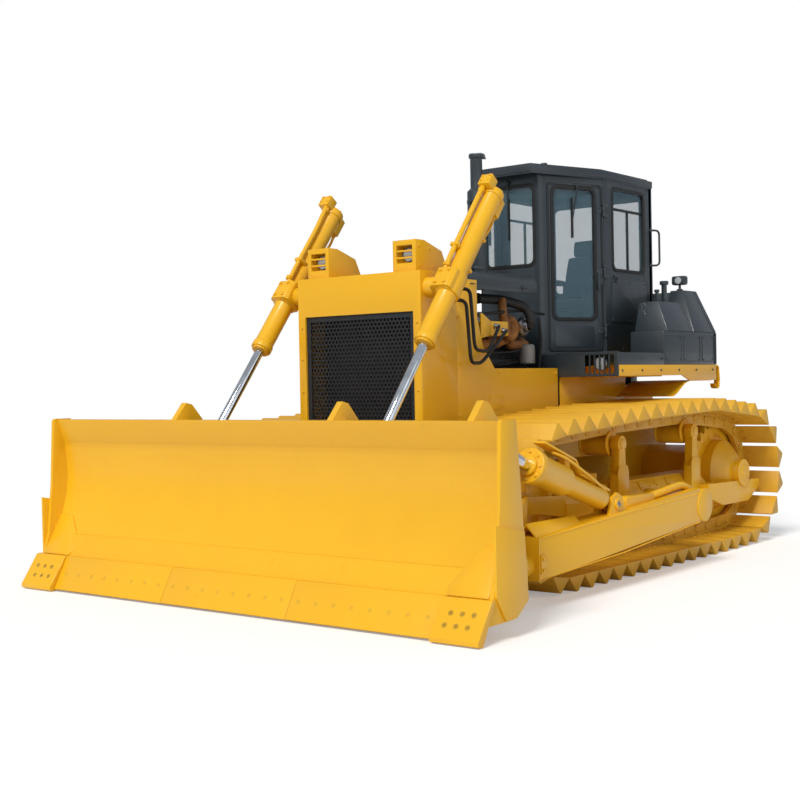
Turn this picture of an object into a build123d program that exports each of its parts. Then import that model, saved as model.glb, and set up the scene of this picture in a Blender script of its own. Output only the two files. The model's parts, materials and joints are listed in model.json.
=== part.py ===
from build123d import *
import math
import os

# Low-ground-pressure crawler dozer. Millimetres, +Z up, ground at Z = 0.
# The machine faces -Y and its left side is +X. Y is measured here from the
# row of edge bolts at the blade's foot, and the whole machine is centred at
# the end.

# Tracks
TRACK_GAUGE = 2260
SHOE_WIDTH = 910
SHOE_HEIGHT = 115
SHOE_FOOT = 12
SHOE_GAP = 7
SHOE_TIP = 22
LINK_PITCH = 216
LINK_COUNT = 45
LINK_RISE = 62
LINK_DROP = 55
RAIL_INNER = 66
RAIL_OUTER = 112
BUSH_RADIUS = 34
SPROCKET_Y = 5280
SPROCKET_Z = 660
SPROCKET_HALF_TEETH = 27
SPROCKET_WIDTH = 76
SPROCKET_BORE = 300
IDLER_PIN_RADIUS = 453
IDLER_GUESS_Y = 1886
CARRIER_RADIUS = 88
CARRIER_Y = (3150, 4480)
CARRIER_APEX_Z = (1340, 1378)
ROLLER_RADIUS = 108
ROLLER_FLANGE = 122
ROLLER_COUNT = 8
ROLLER_FIRST_Y = 2400
ROLLER_LAST_Y = 4700
FIT = 0.3

# Track frame
BEAM_HALF = 185
BEAM_BOTTOM = 480
BEAM_SIDE_TOP = 600
BEAM_TOP = 705
BEAM_TOP_HALF = 105
BEAM_FRONT_Y = 2330
BEAM_REAR_Y = 4770
GUARD_PLATE = 20
GUARD_BOTTOM = 300
SHAFT_RADIUS = 45
OUTRIGGER = (270, 320)
OUTRIGGER_Z = (390, 600)
OUTRIGGER_REAR_Y = 5650
POST_INNER = 150
POST_OUTER = 220

# Push arms and their rear pivots
ARM_PIVOT_Y = 3650
ARM_PIVOT_Z = 510
ARM_PIN_RADIUS = 65
ARM_INNER_X = TRACK_GAUGE / 2 + SHOE_WIDTH / 2 + 30
ARM_OUTER_X = ARM_INNER_X + 215
ARM_FRONT_Y = 1100
ARM_FRONT_Z = (210, 500)
ARM_REAR_Z = (385, 650)
ARM_BALL_Y = 880
ARM_BALL_Z = 298
ARM_BALL = 110
PIVOT_FIT = 0.05

# Blade
BLADE_HALF = 2135
BLADE_TOP_Z = 1315
BLADE_TOP_Y = 217
SKIN = 16
END_PLATE = 28
EDGE_LENGTH = 1215
END_BIT_LENGTH = 360
EDGE_TOP = (70, 262)
EDGE_FOOT = (-60, 10)
BLADE_BELLY = (300, 760)

# Lift linkage
TRUNNION_Y = 1550
TRUNNION_Z = 2270
LIFT_X = TRACK_GAUGE / 2 - SHOE_WIDTH / 2 + 147
LIFT_PIN_Y = 550
LIFT_PIN_Z = 1000
LIFT_BARREL_RADIUS = 76
LIFT_ROD_RADIUS = 36
LIFT_BARREL_DOWN = 545
LIFT_BARREL_UP = 1160
TRUNNION_RADIUS = 45

# Tilt linkage
TILT_X = (ARM_INNER_X + ARM_OUTER_X) / 2
TILT_PIN_Y = 2260
TILT_PIN_Z = 632
TILT_FRONT_Y = 520
TILT_FRONT_Z = 1190
TILT_EYE = 58

# Hull
GUARD_FRONT_Y = 1445
GUARD_REAR_Y = 1900
GUARD_HALF = TRACK_GAUGE / 2 - SHOE_WIDTH / 2 - 57.5
GUARD_TOP_Z = 2398
GUARD_BOTTOM_Z = 760
GUARD_WALL = 25
GRILLE_HALF = 545
GRILLE_TOP_Z = 2094
GRILLE_BOTTOM_Z = 900
HOOD_REAR_Y = 3420
LAMP_X = (325, 545)
LAMP_HEIGHT = 239
LAMP_INSET = 45
RAIL_X = (380, 480)
BAR_TOP = 860
BAR_Y = (2780, 2960)
RAIL_HEIGHT = 300
CASE_HALF = 520
CASE_Y = (4400, 5560)
CASE_Z = (470, 1500)

# Cab, as a hexagon in plan
CAB_FRONT_Y = 3594
CAB_CORNER_Y = 4273
CAB_REAR_Y = 5190
CAB_NOSE_HALF = 227
CAB_HALF = 588
CAB_FLOOR_Z = 1780
CAB_EAVES_Z = 3400
CAB_TOP_Z = 3480
CAB_WALL = 50
DOOR_THICK = 40
DOOR_GAP = 6
GLASS = 6

# Fenders and rear tank
FENDER_FRONT_Y = 3395
FENDER_REAR_Y = 5280
FENDER_HALF = TRACK_GAUGE / 2 + 70
FENDER_INNER = GUARD_HALF - 17.5
BAND_Z = (1580, 1675)
LEDGE_Z = 1778
TANK_FRONT_Y = 4215
TANK_SHELF_Z = 1976
TANK_TOP_Z = 2380
TANK_REAR_Y = FENDER_REAR_Y + 20
BOX_TOP_Z = 2250

# Exhaust
MUFFLER_Y = 3090
MUFFLER_RADIUS = 83
PIPE_RADIUS = 53
PIPE_TOP_Z = 3530
MUFFLER_TOP_Z = PIPE_TOP_Z - 320
CAP_HINGE_Y = MUFFLER_Y + 78
CAP_HINGE_Z = PIPE_TOP_Z + 12
CAP_PIN = 5


def side_plate(points, x0, x1):
    """A plate whose outline is in Y and Z, from x0 to x1."""
    face = make_face(Plane.YZ.offset(x0) * Polyline(*points, close=True))
    return extrude(face, amount=x1 - x0, dir=(1, 0, 0))


def front_plate(points, y0, y1):
    """A plate whose outline is in X and Z, from y0 to y1."""
    face = make_face(Plane.XZ.offset(-y0) * Polyline(*points, close=True))
    return extrude(face, amount=y1 - y0, dir=(0, 1, 0))


def floor_plate(points, z0, z1):
    """A plate whose outline is in X and Y, from z0 to z1."""
    face = make_face(Plane.XY.offset(z0) * Polyline(*points, close=True))
    return extrude(face, amount=z1 - z0, dir=(0, 0, 1))


def block(x0, x1, y0, y1, z0, z1):
    return Pos((x0 + x1) / 2, (y0 + y1) / 2, (z0 + z1) / 2) * Box(x1 - x0, y1 - y0, z1 - z0)


def drum_x(y, z, radius, x0, x1):
    """A round drum along X."""
    return Pos((x0 + x1) / 2, y, z) * Rot(0, 90, 0) * Cylinder(radius, x1 - x0)


def drum_z(x, y, radius, z0, z1):
    return Pos(x, y, (z0 + z1) / 2) * Cylinder(radius, z1 - z0)


def rod(start, end, radius):
    """A round bar from start to end."""
    run = Vector(*end) - Vector(*start)
    return Plane(origin=start, z_dir=run) * Pos(0, 0, run.length / 2) * Cylinder(radius, run.length)


def turned_x(profile, y, z):
    """A body turned about an X axis at y, z, from points of x and radius."""
    face = make_face(Plane.XY * Polyline(*profile, close=True))
    return Pos(0, y, z) * revolve(face, Axis.X)


def mirrored(shape):
    return mirror(shape, about=Plane.YZ)


# The chain's path
def tangent_loop(circles):
    """Arcs and straight runs round circles of (y, z, radius), listed as the path meets them."""
    runs = []
    count = len(circles)
    angles = []
    for i in range(count):
        ya, za, ra = circles[i]
        yb, zb, rb = circles[(i + 1) % count]
        span = math.hypot(yb - ya, zb - za)
        heading = math.atan2(zb - za, yb - ya)
        angles.append(heading + math.acos((ra - rb) / span))
    for i in range(count):
        y, z, r = circles[i]
        start = angles[i - 1]
        turn = (start - angles[i]) % (2 * math.pi)
        runs.append(("arc", y, z, r, start, turn, r * turn))
        yb, zb, rb = circles[(i + 1) % count]
        a = angles[i]
        p = (y + r * math.cos(a), z + r * math.sin(a))
        q = (yb + rb * math.cos(a), zb + rb * math.sin(a))
        runs.append(("line", p, q, math.dist(p, q)))
    return runs


def loop_length(runs):
    return sum(run[-1] for run in runs)


def loop_point(runs, travel):
    """The point at a distance along the loop."""
    travel %= loop_length(runs)
    for run in runs:
        if travel <= run[-1]:
            break
        travel -= run[-1]
    if run[0] == "arc":
        _, y, z, r, start, turn, length = run
        a = start - travel / r
        return (y + r * math.cos(a), z + r * math.sin(a))
    _, p, q, length = run
    t = travel / length
    return (p[0] + (q[0] - p[0]) * t, p[1] + (q[1] - p[1]) * t)


def chain_pins(idler_y):
    """Pins laid one link pitch apart round the loop, and how far the last overshoots the first."""
    pin_radius = LINK_PITCH / 2 / math.sin(math.pi * 2 / SPROCKET_HALF_TEETH)
    ground_pin = SHOE_HEIGHT + LINK_RISE
    low = ground_pin + LINK_DROP + ROLLER_RADIUS
    circles = [(idler_y, ground_pin + IDLER_PIN_RADIUS, IDLER_PIN_RADIUS)]
    for y, apex in zip(CARRIER_Y, CARRIER_APEX_Z):
        reach = CARRIER_RADIUS + LINK_DROP
        circles.append((y, apex - SHOE_HEIGHT - LINK_RISE - reach, reach))
    circles.append((SPROCKET_Y, SPROCKET_Z, pin_radius))
    for y in (ROLLER_LAST_Y, ROLLER_FIRST_Y):
        circles.append((y, low, ROLLER_RADIUS + LINK_DROP))
    runs = tangent_loop(circles)
    total = loop_length(runs)
    start = sprocket_start(runs)
    travel = start
    pins = [loop_point(runs, travel)]
    for _ in range(LINK_COUNT):
        lower, upper = travel + LINK_PITCH * 0.98, travel + LINK_PITCH * 1.06
        for _ in range(40):
            middle = (lower + upper) / 2
            if math.dist(loop_point(runs, middle), pins[-1]) < LINK_PITCH:
                lower = middle
            else:
                upper = middle
        travel = lower
        pins.append(loop_point(runs, travel))
    return pins[:-1], travel - start - total


def sprocket_start(runs):
    """The distance along the loop to the sprocket's rearmost point."""
    travel = 0
    for run in runs:
        if run[0] == "arc" and run[1] == SPROCKET_Y:
            return travel + run[3] * (run[4] % (2 * math.pi))
        travel += run[-1]


def fitted_chain():
    """The idler slides until the last link meets the first, as a track adjuster sets it."""
    lower, upper = IDLER_GUESS_Y - 150, IDLER_GUESS_Y + 150
    for _ in range(30):
        middle = (lower + upper) / 2
        if chain_pins(middle)[1] < 0:
            lower = middle
        else:
            upper = middle
    return chain_pins(middle)[0], middle


PINS, IDLER_Y = fitted_chain()
IDLER_Z = SHOE_HEIGHT + LINK_RISE + IDLER_PIN_RADIUS
SIDE_X = TRACK_GAUGE / 2


def offset_pins(rise):
    """The chain's outline at a height above its pins."""
    points = []
    for i, (y, z) in enumerate(PINS):
        ya, za = PINS[i - 1]
        yb, zb = PINS[(i + 1) % len(PINS)]
        heading = math.atan2(zb - za, yb - ya)
        bend = math.atan2(z - za, y - ya) - heading
        stretch = rise / math.cos(bend)
        points.append((y - stretch * math.sin(heading), z + stretch * math.cos(heading)))
    return points


def shoe(first, second):
    """One three-cornered swamp shoe on the link between two pins."""
    middle = ((first[0] + second[0]) / 2, (first[1] + second[1]) / 2)
    heading = math.atan2(second[1] - first[1], second[0] - first[0])
    half = LINK_PITCH / 2 - SHOE_GAP / 2
    foot = LINK_RISE
    peak = LINK_RISE + SHOE_HEIGHT
    outline = [(-half, foot), (-half, foot + SHOE_FOOT), (-SHOE_TIP / 2, peak)]
    outline += [(SHOE_TIP / 2, peak), (half, foot + SHOE_FOOT), (half, foot)]
    points = []
    for along, rise in outline:
        y = middle[0] + along * math.cos(heading) - rise * math.sin(heading)
        z = middle[1] + along * math.sin(heading) + rise * math.cos(heading)
        points.append((y, z))
    return side_plate(points, SIDE_X - SHOE_WIDTH / 2, SIDE_X + SHOE_WIDTH / 2)


def track():
    """Shoes, both rows of links and the bushes between them, as one loop."""
    rails = []
    for side in (-1, 1):
        x0, x1 = sorted((SIDE_X + side * RAIL_INNER, SIDE_X + side * RAIL_OUTER))
        outer = side_plate(offset_pins(LINK_RISE), x0, x1)
        rails.append(outer - side_plate(offset_pins(-LINK_DROP), x0, x1))
    shoes = [shoe(PINS[i - 1], PINS[i]) for i in range(len(PINS))]
    bushes = []
    for y, z in PINS:
        hexagon = [(y + BUSH_RADIUS * math.cos(math.radians(a)), z + BUSH_RADIUS * math.sin(math.radians(a)))
                   for a in range(0, 360, 60)]
        bushes.append(side_plate(hexagon, SIDE_X - RAIL_INNER, SIDE_X + RAIL_INNER))
    return rails[0] + rails[1] + shoes + bushes


def sprocket():
    """Twenty-seven teeth at half the link pitch, so each tooth meets a bush every second turn."""
    pin_radius = LINK_PITCH / 2 / math.sin(math.pi * 2 / SPROCKET_HALF_TEETH)
    root = pin_radius - BUSH_RADIUS - 3
    tip = pin_radius + 8
    step = 2 * math.pi / SPROCKET_HALF_TEETH
    points = []
    for i in range(SPROCKET_HALF_TEETH):
        for part, radius in ((0.17, root), (0.40, tip), (0.60, tip), (0.83, root)):
            a = (i + part) * step
            points.append((SPROCKET_Y + radius * math.cos(a), SPROCKET_Z + radius * math.sin(a)))
    ring = side_plate(points, SIDE_X - SPROCKET_WIDTH / 2, SIDE_X + SPROCKET_WIDTH / 2)
    return ring - drum_x(SPROCKET_Y, SPROCKET_Z, SPROCKET_BORE, SIDE_X - 100, SIDE_X + 100)


def idler():
    """Front idler: two treads under the link rails and a flange between them."""
    tread = math.sqrt(IDLER_PIN_RADIUS ** 2 - LINK_PITCH ** 2 / 4) - LINK_DROP - FIT
    flange = tread + 14
    profile = [(-112, SHAFT_RADIUS + FIT), (-112, 120), (-45, 150), (-45, 320), (-112, 340), (-112, tread)]
    profile += [(-52, tread), (-46, flange), (46, flange), (52, tread), (112, tread), (112, 340)]
    profile += [(45, 320), (45, 150), (112, 120), (112, SHAFT_RADIUS + FIT)]
    return turned_x([(SIDE_X + x, r) for x, r in profile], IDLER_Y, IDLER_Z)


def roller(y, z, tread, flange, reach):
    """A track roller with two treads, outer flanges and its shaft."""
    profile = [(-reach, 0), (-reach, 32), (-130, 32), (-130, flange), (-116, flange), (-114, tread)]
    profile += [(-58, tread), (-50, tread * 0.72), (50, tread * 0.72), (58, tread), (114, tread)]
    profile += [(116, flange), (130, flange), (130, 32), (reach, 32), (reach, 0)]
    return turned_x([(SIDE_X + x, r) for x, r in profile], y, z)


def track_rollers():
    low = SHOE_HEIGHT + LINK_RISE + LINK_DROP + ROLLER_RADIUS + FIT
    step = (ROLLER_LAST_Y - ROLLER_FIRST_Y) / (ROLLER_COUNT - 1)
    reach = BEAM_HALF - GUARD_PLATE
    return [roller(ROLLER_FIRST_Y + i * step, low, ROLLER_RADIUS, ROLLER_FLANGE, reach)
            for i in range(ROLLER_COUNT)]


def under_chain(y, radius):
    """The height of a roller's centre that carries the upper run at y."""
    rails = offset_pins(-LINK_DROP)
    heights = []
    for i, (yb, zb) in enumerate(rails):
        ya, za = rails[i - 1]
        if abs(ya - y) < 2 * LINK_PITCH and za > IDLER_Z and zb > IDLER_Z:
            slope = (zb - za) / (yb - ya)
            heights.append(za + slope * (y - ya) - (radius + FIT) * math.hypot(1, slope))
    return min(heights)


def carrier_rollers():
    """Two short rollers under the upper run, each on a stub from its post."""
    rollers = []
    for y in CARRIER_Y:
        z = under_chain(y, CARRIER_RADIUS)
        profile = [(-125, 0), (-125, 60), (-112, CARRIER_RADIUS), (112, CARRIER_RADIUS), (116, 84)]
        profile += [(126, 84), (126, 40), (POST_INNER, 40), (POST_INNER, 0)]
        rollers.append(turned_x([(SIDE_X + x, r) for x, r in profile], y, z))
    return rollers


def carrier_post(y, top):
    """A tapered post on the track frame, with a clamp cap round the roller's stub."""
    foot = side_plate([(y - 85, BEAM_SIDE_TOP - 60), (y - 85, BEAM_TOP + 70), (y - 60, BEAM_TOP + 95),
                       (y - 45, top + 55), (y + 45, top + 55), (y + 60, BEAM_TOP + 95),
                       (y + 85, BEAM_TOP + 70), (y + 85, BEAM_SIDE_TOP - 60)],
                      SIDE_X + POST_INNER, SIDE_X + POST_OUTER)
    return foot


def track_frame():
    """Roller frame: boxed beam, roller guards, idler yoke, carrier posts and rear outrigger."""
    section = [(-BEAM_HALF, BEAM_BOTTOM), (-BEAM_HALF, BEAM_SIDE_TOP), (-BEAM_TOP_HALF, BEAM_TOP)]
    section += [(BEAM_TOP_HALF, BEAM_TOP), (BEAM_HALF, BEAM_SIDE_TOP), (BEAM_HALF, BEAM_BOTTOM)]
    frame = front_plate([(SIDE_X + x, z) for x, z in section], BEAM_FRONT_Y, BEAM_REAR_Y)
    for side in (-1, 1):
        x0, x1 = sorted((SIDE_X + side * (BEAM_HALF - GUARD_PLATE), SIDE_X + side * BEAM_HALF))
        guard = [(BEAM_FRONT_Y, BEAM_BOTTOM), (BEAM_FRONT_Y - 60, GUARD_BOTTOM + 60)]
        guard += [(BEAM_FRONT_Y - 30, GUARD_BOTTOM), (BEAM_REAR_Y - 60, GUARD_BOTTOM)]
        guard += [(BEAM_REAR_Y, GUARD_BOTTOM + 60), (BEAM_REAR_Y, BEAM_BOTTOM)]
        frame += side_plate(guard, x0, x1)
        x0, x1 = sorted((SIDE_X + side * 126, SIDE_X + side * 166))
        arm = [(BEAM_FRONT_Y + 40, BEAM_BOTTOM + 20), (BEAM_FRONT_Y + 40, BEAM_TOP - 40)]
        arm += [(IDLER_Y - 40, IDLER_Z + 70), (IDLER_Y - 75, IDLER_Z + 30), (IDLER_Y - 75, IDLER_Z - 45)]
        arm += [(IDLER_Y - 40, IDLER_Z - 70), (IDLER_Y + 100, IDLER_Z - 70)]
        frame += side_plate(arm, x0, x1)
    frame += drum_x(IDLER_Y, IDLER_Z, SHAFT_RADIUS, SIDE_X - 130, SIDE_X + 130)
    for y in CARRIER_Y:
        frame += carrier_post(y, under_chain(y, CARRIER_RADIUS))
    out_in, out_far = OUTRIGGER
    low, high = OUTRIGGER_Z
    rail = [(BEAM_REAR_Y - 230, BEAM_BOTTOM), (BEAM_REAR_Y - 230, high), (OUTRIGGER_REAR_Y, high - 20)]
    rail += [(OUTRIGGER_REAR_Y, high - 90), (OUTRIGGER_REAR_Y - 260, low), (BEAM_REAR_Y + 80, low)]
    frame += side_plate(rail, SIDE_X + out_in, SIDE_X + out_far)
    frame += block(SIDE_X + BEAM_HALF, SIDE_X + out_in, BEAM_REAR_Y - 230, BEAM_REAR_Y - 20, BEAM_BOTTOM, high)
    frame -= drum_x(SPROCKET_Y, SPROCKET_Z, 116 + FIT, SIDE_X + out_in - 20, SIDE_X + out_far + 20)
    return frame + arm_pivot()


def arm_pivot():
    """The pin that the push arm turns on, with its foot on the track frame."""
    pin = drum_x(ARM_PIVOT_Y, ARM_PIVOT_Z, ARM_PIN_RADIUS, SIDE_X + BEAM_HALF, ARM_OUTER_X + 4)
    foot = [(SIDE_X + BEAM_HALF, 0), (SIDE_X + BEAM_HALF, 118), (SIDE_X + BEAM_HALF + 30, 118)]
    foot += [(ARM_INNER_X - 90, 88), (ARM_INNER_X - 20, 88), (ARM_INNER_X - 20, 0)]
    return pin + turned_x(foot, ARM_PIVOT_Y, ARM_PIVOT_Z)


def final_drive():
    """Final drive case from the hull out to its carrier bearing."""
    profile = [(CASE_HALF, 0), (CASE_HALF, 250), (SIDE_X - 165, 250), (SIDE_X - 150, 285)]
    profile += [(SIDE_X - 60, 285), (SIDE_X - 60, SPROCKET_BORE - FIT), (SIDE_X + 130, SPROCKET_BORE - FIT)]
    profile += [(SIDE_X + 250, 160), (SIDE_X + 262, 116), (SIDE_X + OUTRIGGER[1] + 8, 116)]
    profile += [(SIDE_X + OUTRIGGER[1] + 8, 0)]
    return turned_x(profile, SPROCKET_Y, SPROCKET_Z)


# Hull
RAIL_TOP = BAR_TOP + FIT + RAIL_HEIGHT


def main_frame():
    """Two rails, the rear case, cross members, guard feet and the drawbar bracket."""
    low = BAR_TOP + FIT
    frame = block(-CASE_HALF, CASE_HALF, CASE_Y[0], CASE_Y[1], CASE_Z[0], CASE_Z[1])
    frame -= block(-CASE_HALF - 10, CASE_HALF + 10, CASE_Y[1] - 260, CASE_Y[1] + 10, CASE_Z[1] - 420, CASE_Z[1] + 10)
    for side in (-1, 1):
        x0, x1 = sorted((side * RAIL_X[0], side * RAIL_X[1]))
        frame += block(x0, x1, GUARD_FRONT_Y + 70 + FIT, CASE_Y[0], low, RAIL_TOP)
    for y in (1560, BAR_Y[0], 4100):
        frame += block(-RAIL_X[0], RAIL_X[0], y, y + 150, low, low + 120)
    frame += block(-RAIL_X[0], RAIL_X[0], 1560, CASE_Y[0], low, low + 20)
    return frame


def drawbar():
    """Rear pull hook plates with a pin hole."""
    upper = block(-150, 150, CASE_Y[1], CASE_Y[1] + 190, 700, 740)
    lower = block(-150, 150, CASE_Y[1], CASE_Y[1] + 190, 560, 600)
    back = block(-190, 190, CASE_Y[1], CASE_Y[1] + 30, 520, 780)
    plates = upper + lower + back
    return plates - drum_z(0, CASE_Y[1] + 120, 30, 500, 800)


def equalizer_bar():
    """The cross bar that rests on both track frames and swings at its middle pin."""
    half = [(CASE_HALF, BAR_TOP), (700, BAR_TOP - 10), (SIDE_X + 90, BEAM_TOP + 95), (SIDE_X + 90, BEAM_TOP + FIT)]
    half += [(SIDE_X - BEAM_TOP_HALF - 15, BEAM_TOP + FIT), (700, BEAM_TOP - 20)]
    return front_plate(half + [(-x, z) for x, z in reversed(half)], *BAR_Y)


def radiator_guard():
    """Boxed front guard, open behind, with the grille's opening and the cylinder bosses."""
    w = GUARD_WALL
    guard = block(-GUARD_HALF, GUARD_HALF, GUARD_FRONT_Y, GUARD_REAR_Y, GUARD_BOTTOM_Z, GUARD_TOP_Z)
    guard -= block(-GUARD_HALF + w, GUARD_HALF - w, GUARD_FRONT_Y + 70, GUARD_REAR_Y + 10,
                   GUARD_BOTTOM_Z - 10, GUARD_TOP_Z - w)
    guard -= block(-GRILLE_HALF, GRILLE_HALF, GUARD_FRONT_Y - 10, GUARD_FRONT_Y + 80,
                   GRILLE_BOTTOM_Z, GRILLE_TOP_Z)
    for side in (-1, 1):
        x0, x1 = sorted((side * GUARD_HALF, side * (LIFT_X - 112)))
        guard += drum_x(TRUNNION_Y, TRUNNION_Z, 78, x0, x1)
        x0, x1 = sorted((side * GUARD_HALF, side * (LIFT_X - LIFT_BARREL_RADIUS - 6)))
        guard += drum_x(TRUNNION_Y, TRUNNION_Z, TRUNNION_RADIUS, x0, x1)
    return guard


def grille():
    """Perforated screen in the guard's opening."""
    y0 = GUARD_FRONT_Y + 20
    half = GRILLE_HALF - FIT
    z0, z1 = GRILLE_BOTTOM_Z + FIT, GRILLE_TOP_Z - FIT
    panel = block(-half, half, y0, y0 + 10, z0, z1)
    return panel


def side_plates():
    outline = [(GUARD_REAR_Y, 900), (3373, 900), (3373, 1660), (2410, 1660)]
    outline += [(2250, 1846), (2180, 2060), (2180, GUARD_TOP_Z - 40), (GUARD_REAR_Y, GUARD_TOP_Z - 40)]
    return side_plate(outline, GUARD_HALF - 14, GUARD_HALF)


def hood():
    """Dark engine hood with rounded shoulders, open at the sides below them."""
    half = GUARD_HALF - 16
    top = GUARD_TOP_Z - 40
    outline = [(-half, 2150), (-half, top - 90), (-half + 90, top), (half - 90, top)]
    outline += [(half, top - 90), (half, 2150), (half - 14, 2150), (half - 14, top - 96)]
    outline += [(half - 96, top - 14), (-half + 96, top - 14), (-half + 14, top - 96), (-half + 14, 2150)]
    return front_plate(outline, GUARD_REAR_Y + FIT, HOOD_REAR_Y)


def engine_block():
    """The closed engine and radiator as plain blocks at their real size."""
    engine = block(-330, 330, 2250, 3330, BAR_TOP + 190, 1980)
    sump = block(-230, 230, 2350, 3200, BAR_TOP + 140, BAR_TOP + 190)
    radiator = block(-500, 500, 1640, 1800, RAIL_TOP + FIT, 2250)
    pump = block(-60, 60, 1800, 2250, 1500, 1620)
    return engine + sump + radiator + pump


def turbocharger():
    """Turbine scroll and compressor housing on the engine's left."""
    x = 430
    scroll = drum_x(2890, 1905, 105, x, x + 90)
    outlet = rod((x + 45, 2890, 1905), (x + 45, 2770, 2075), 48)
    compressor = drum_x(2960, 1890, 92, x + 95, x + 160)
    core = drum_x(2925, 1898, 40, 330, x + 100)
    return scroll + outlet + compressor + core


def engine_bracket():
    return block(330, 585, 2560, 2760, 1760, 1900)


def muffler():
    """Muffler, tail pipe and the flange round its end."""
    can = drum_z(0, MUFFLER_Y, MUFFLER_RADIUS, GUARD_TOP_Z - 40, MUFFLER_TOP_Z)
    neck = Pos(0, MUFFLER_Y, MUFFLER_TOP_Z + 15) * Cone(MUFFLER_RADIUS, PIPE_RADIUS, 30)
    pipe = drum_z(0, MUFFLER_Y, PIPE_RADIUS, MUFFLER_TOP_Z + 30, PIPE_TOP_Z)
    collar = drum_z(0, MUFFLER_Y, PIPE_RADIUS + 12, PIPE_TOP_Z - 28, PIPE_TOP_Z)
    bore = drum_z(0, MUFFLER_Y, PIPE_RADIUS - 6, MUFFLER_TOP_Z + 60, PIPE_TOP_Z + 10)
    body = can + neck + pipe + collar - bore
    for x0, x1 in ((-19, -13), (13, 19)):
        body += block(x0, x1, MUFFLER_Y + PIPE_RADIUS + 10, CAP_HINGE_Y + 10, PIPE_TOP_Z - 28, CAP_HINGE_Z + 10)
    return body + drum_x(CAP_HINGE_Y, CAP_HINGE_Z, CAP_PIN, -19, 19)


def rain_cap():
    """The flap that lies on the tail pipe, with its counterweight behind the hinge."""
    lid = drum_z(0, MUFFLER_Y, PIPE_RADIUS + 8, PIPE_TOP_Z + FIT, PIPE_TOP_Z + 8)
    base = CAP_HINGE_Y
    tail = side_plate([(base - 25, PIPE_TOP_Z + 4), (base - 25, PIPE_TOP_Z + 26), (base + 40, PIPE_TOP_Z + 20),
                       (base + 62, PIPE_TOP_Z - 20), (base + 40, PIPE_TOP_Z - 20), (base + 20, PIPE_TOP_Z + 4)],
                      -11, 11)
    return lid + tail - drum_x(base, CAP_HINGE_Z, CAP_PIN + PIVOT_FIT, -20, 20)


def headlamp():
    """A lamp box on the guard's top, open in front."""
    front = GUARD_FRONT_Y + LAMP_INSET
    x0, x1 = LAMP_X
    z0, z1 = GUARD_TOP_Z, GUARD_TOP_Z + LAMP_HEIGHT
    outline = [(front, z0), (front, z1), (front + 110, z1), (front + 330, z1 - 70), (front + 420, z0)]
    box = side_plate(outline, x0, x1)
    box -= block(x0 + 35, x1 - 35, front - 10, front + 110, z0 + 65, z1 - 40)
    for z in (z0 + 98, z0 + 150):
        box += block(x0 + 30, x1 - 30, front + 4, front + 14, z, z + 14)
    return box


def headlamp_lens():
    front = GUARD_FRONT_Y + LAMP_INSET
    lens = Pos(sum(LAMP_X) / 2, front + 80, GUARD_TOP_Z + 132) * Rot(90, 0, 0) * Cylinder(58, 59)
    return lens


# Fenders, tanks and rear
def fender():
    """Yellow fender with its curved rear corner."""
    low, high = BAND_Z
    outline = [(FENDER_FRONT_Y, low), (FENDER_FRONT_Y, high), (FENDER_REAR_Y, high), (FENDER_REAR_Y, low - 40)]
    outline += [(5150, low - 55), (4760, low - 60), (4700, low)]
    band = side_plate(outline, FENDER_HALF - 12, FENDER_HALF)
    deck = block(FENDER_INNER, FENDER_HALF - 12, FENDER_FRONT_Y, FENDER_REAR_Y, high - 12, high)
    web = [(3600, 1180), (3600, high - 12), (4760, high - 12), (4660, 1430), (4600, 1180)]
    return band + deck + side_plate(web, FENDER_INNER, FENDER_INNER + 14)


def fender_box():
    """Dark box on the fender's front with the lamp behind bars, and the side ledge."""
    high = BAND_Z[1]
    side = block(FENDER_HALF - 14, FENDER_HALF, FENDER_FRONT_Y, TANK_FRONT_Y - FIT, high, LEDGE_Z)
    shelf = block(FENDER_INNER, FENDER_HALF - 14, FENDER_FRONT_Y, TANK_FRONT_Y - FIT, LEDGE_Z - 14, LEDGE_Z)
    front = block(FENDER_INNER, FENDER_HALF - 14, FENDER_FRONT_Y, FENDER_FRONT_Y + 14, high, LEDGE_Z - 14)
    return side + shelf + front


def rear_tanks():
    """Fuel tank across the rear, and the lower side boxes ahead of it."""
    high = BAND_Z[1]
    x_in = CAB_HALF + 280
    tank = None
    for side in (-1, 1):
        x0, x1 = sorted((side * x_in, side * FENDER_HALF))
        lower = block(x0, x1, TANK_FRONT_Y, FENDER_REAR_Y, high, TANK_SHELF_Z)
        box = front_plate([(side * x_in, TANK_SHELF_Z), (side * x_in, BOX_TOP_Z), (side * 1060, BOX_TOP_Z),
                           (side * FENDER_HALF, TANK_SHELF_Z)], TANK_FRONT_Y + 85, 4790)
        tank = lower + box if tank is None else tank + lower + box
    rear = front_plate([(-FENDER_HALF, TANK_SHELF_Z), (-1000, TANK_TOP_Z), (1000, TANK_TOP_Z),
                        (FENDER_HALF, TANK_SHELF_Z)], CAB_REAR_Y + 30, TANK_REAR_Y)
    for side in (-1, 1):
        wing = front_plate([(side * (CAB_HALF + 60), TANK_SHELF_Z), (side * (CAB_HALF + 60), TANK_TOP_Z),
                            (side * 1000, TANK_TOP_Z), (side * FENDER_HALF, TANK_SHELF_Z)],
                           4815, CAB_REAR_Y + 30)
        tank += wing
    middle = block(-FENDER_HALF, FENDER_HALF, CAB_REAR_Y + 30, TANK_REAR_Y, high, TANK_SHELF_Z)
    return tank + rear + middle


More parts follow.
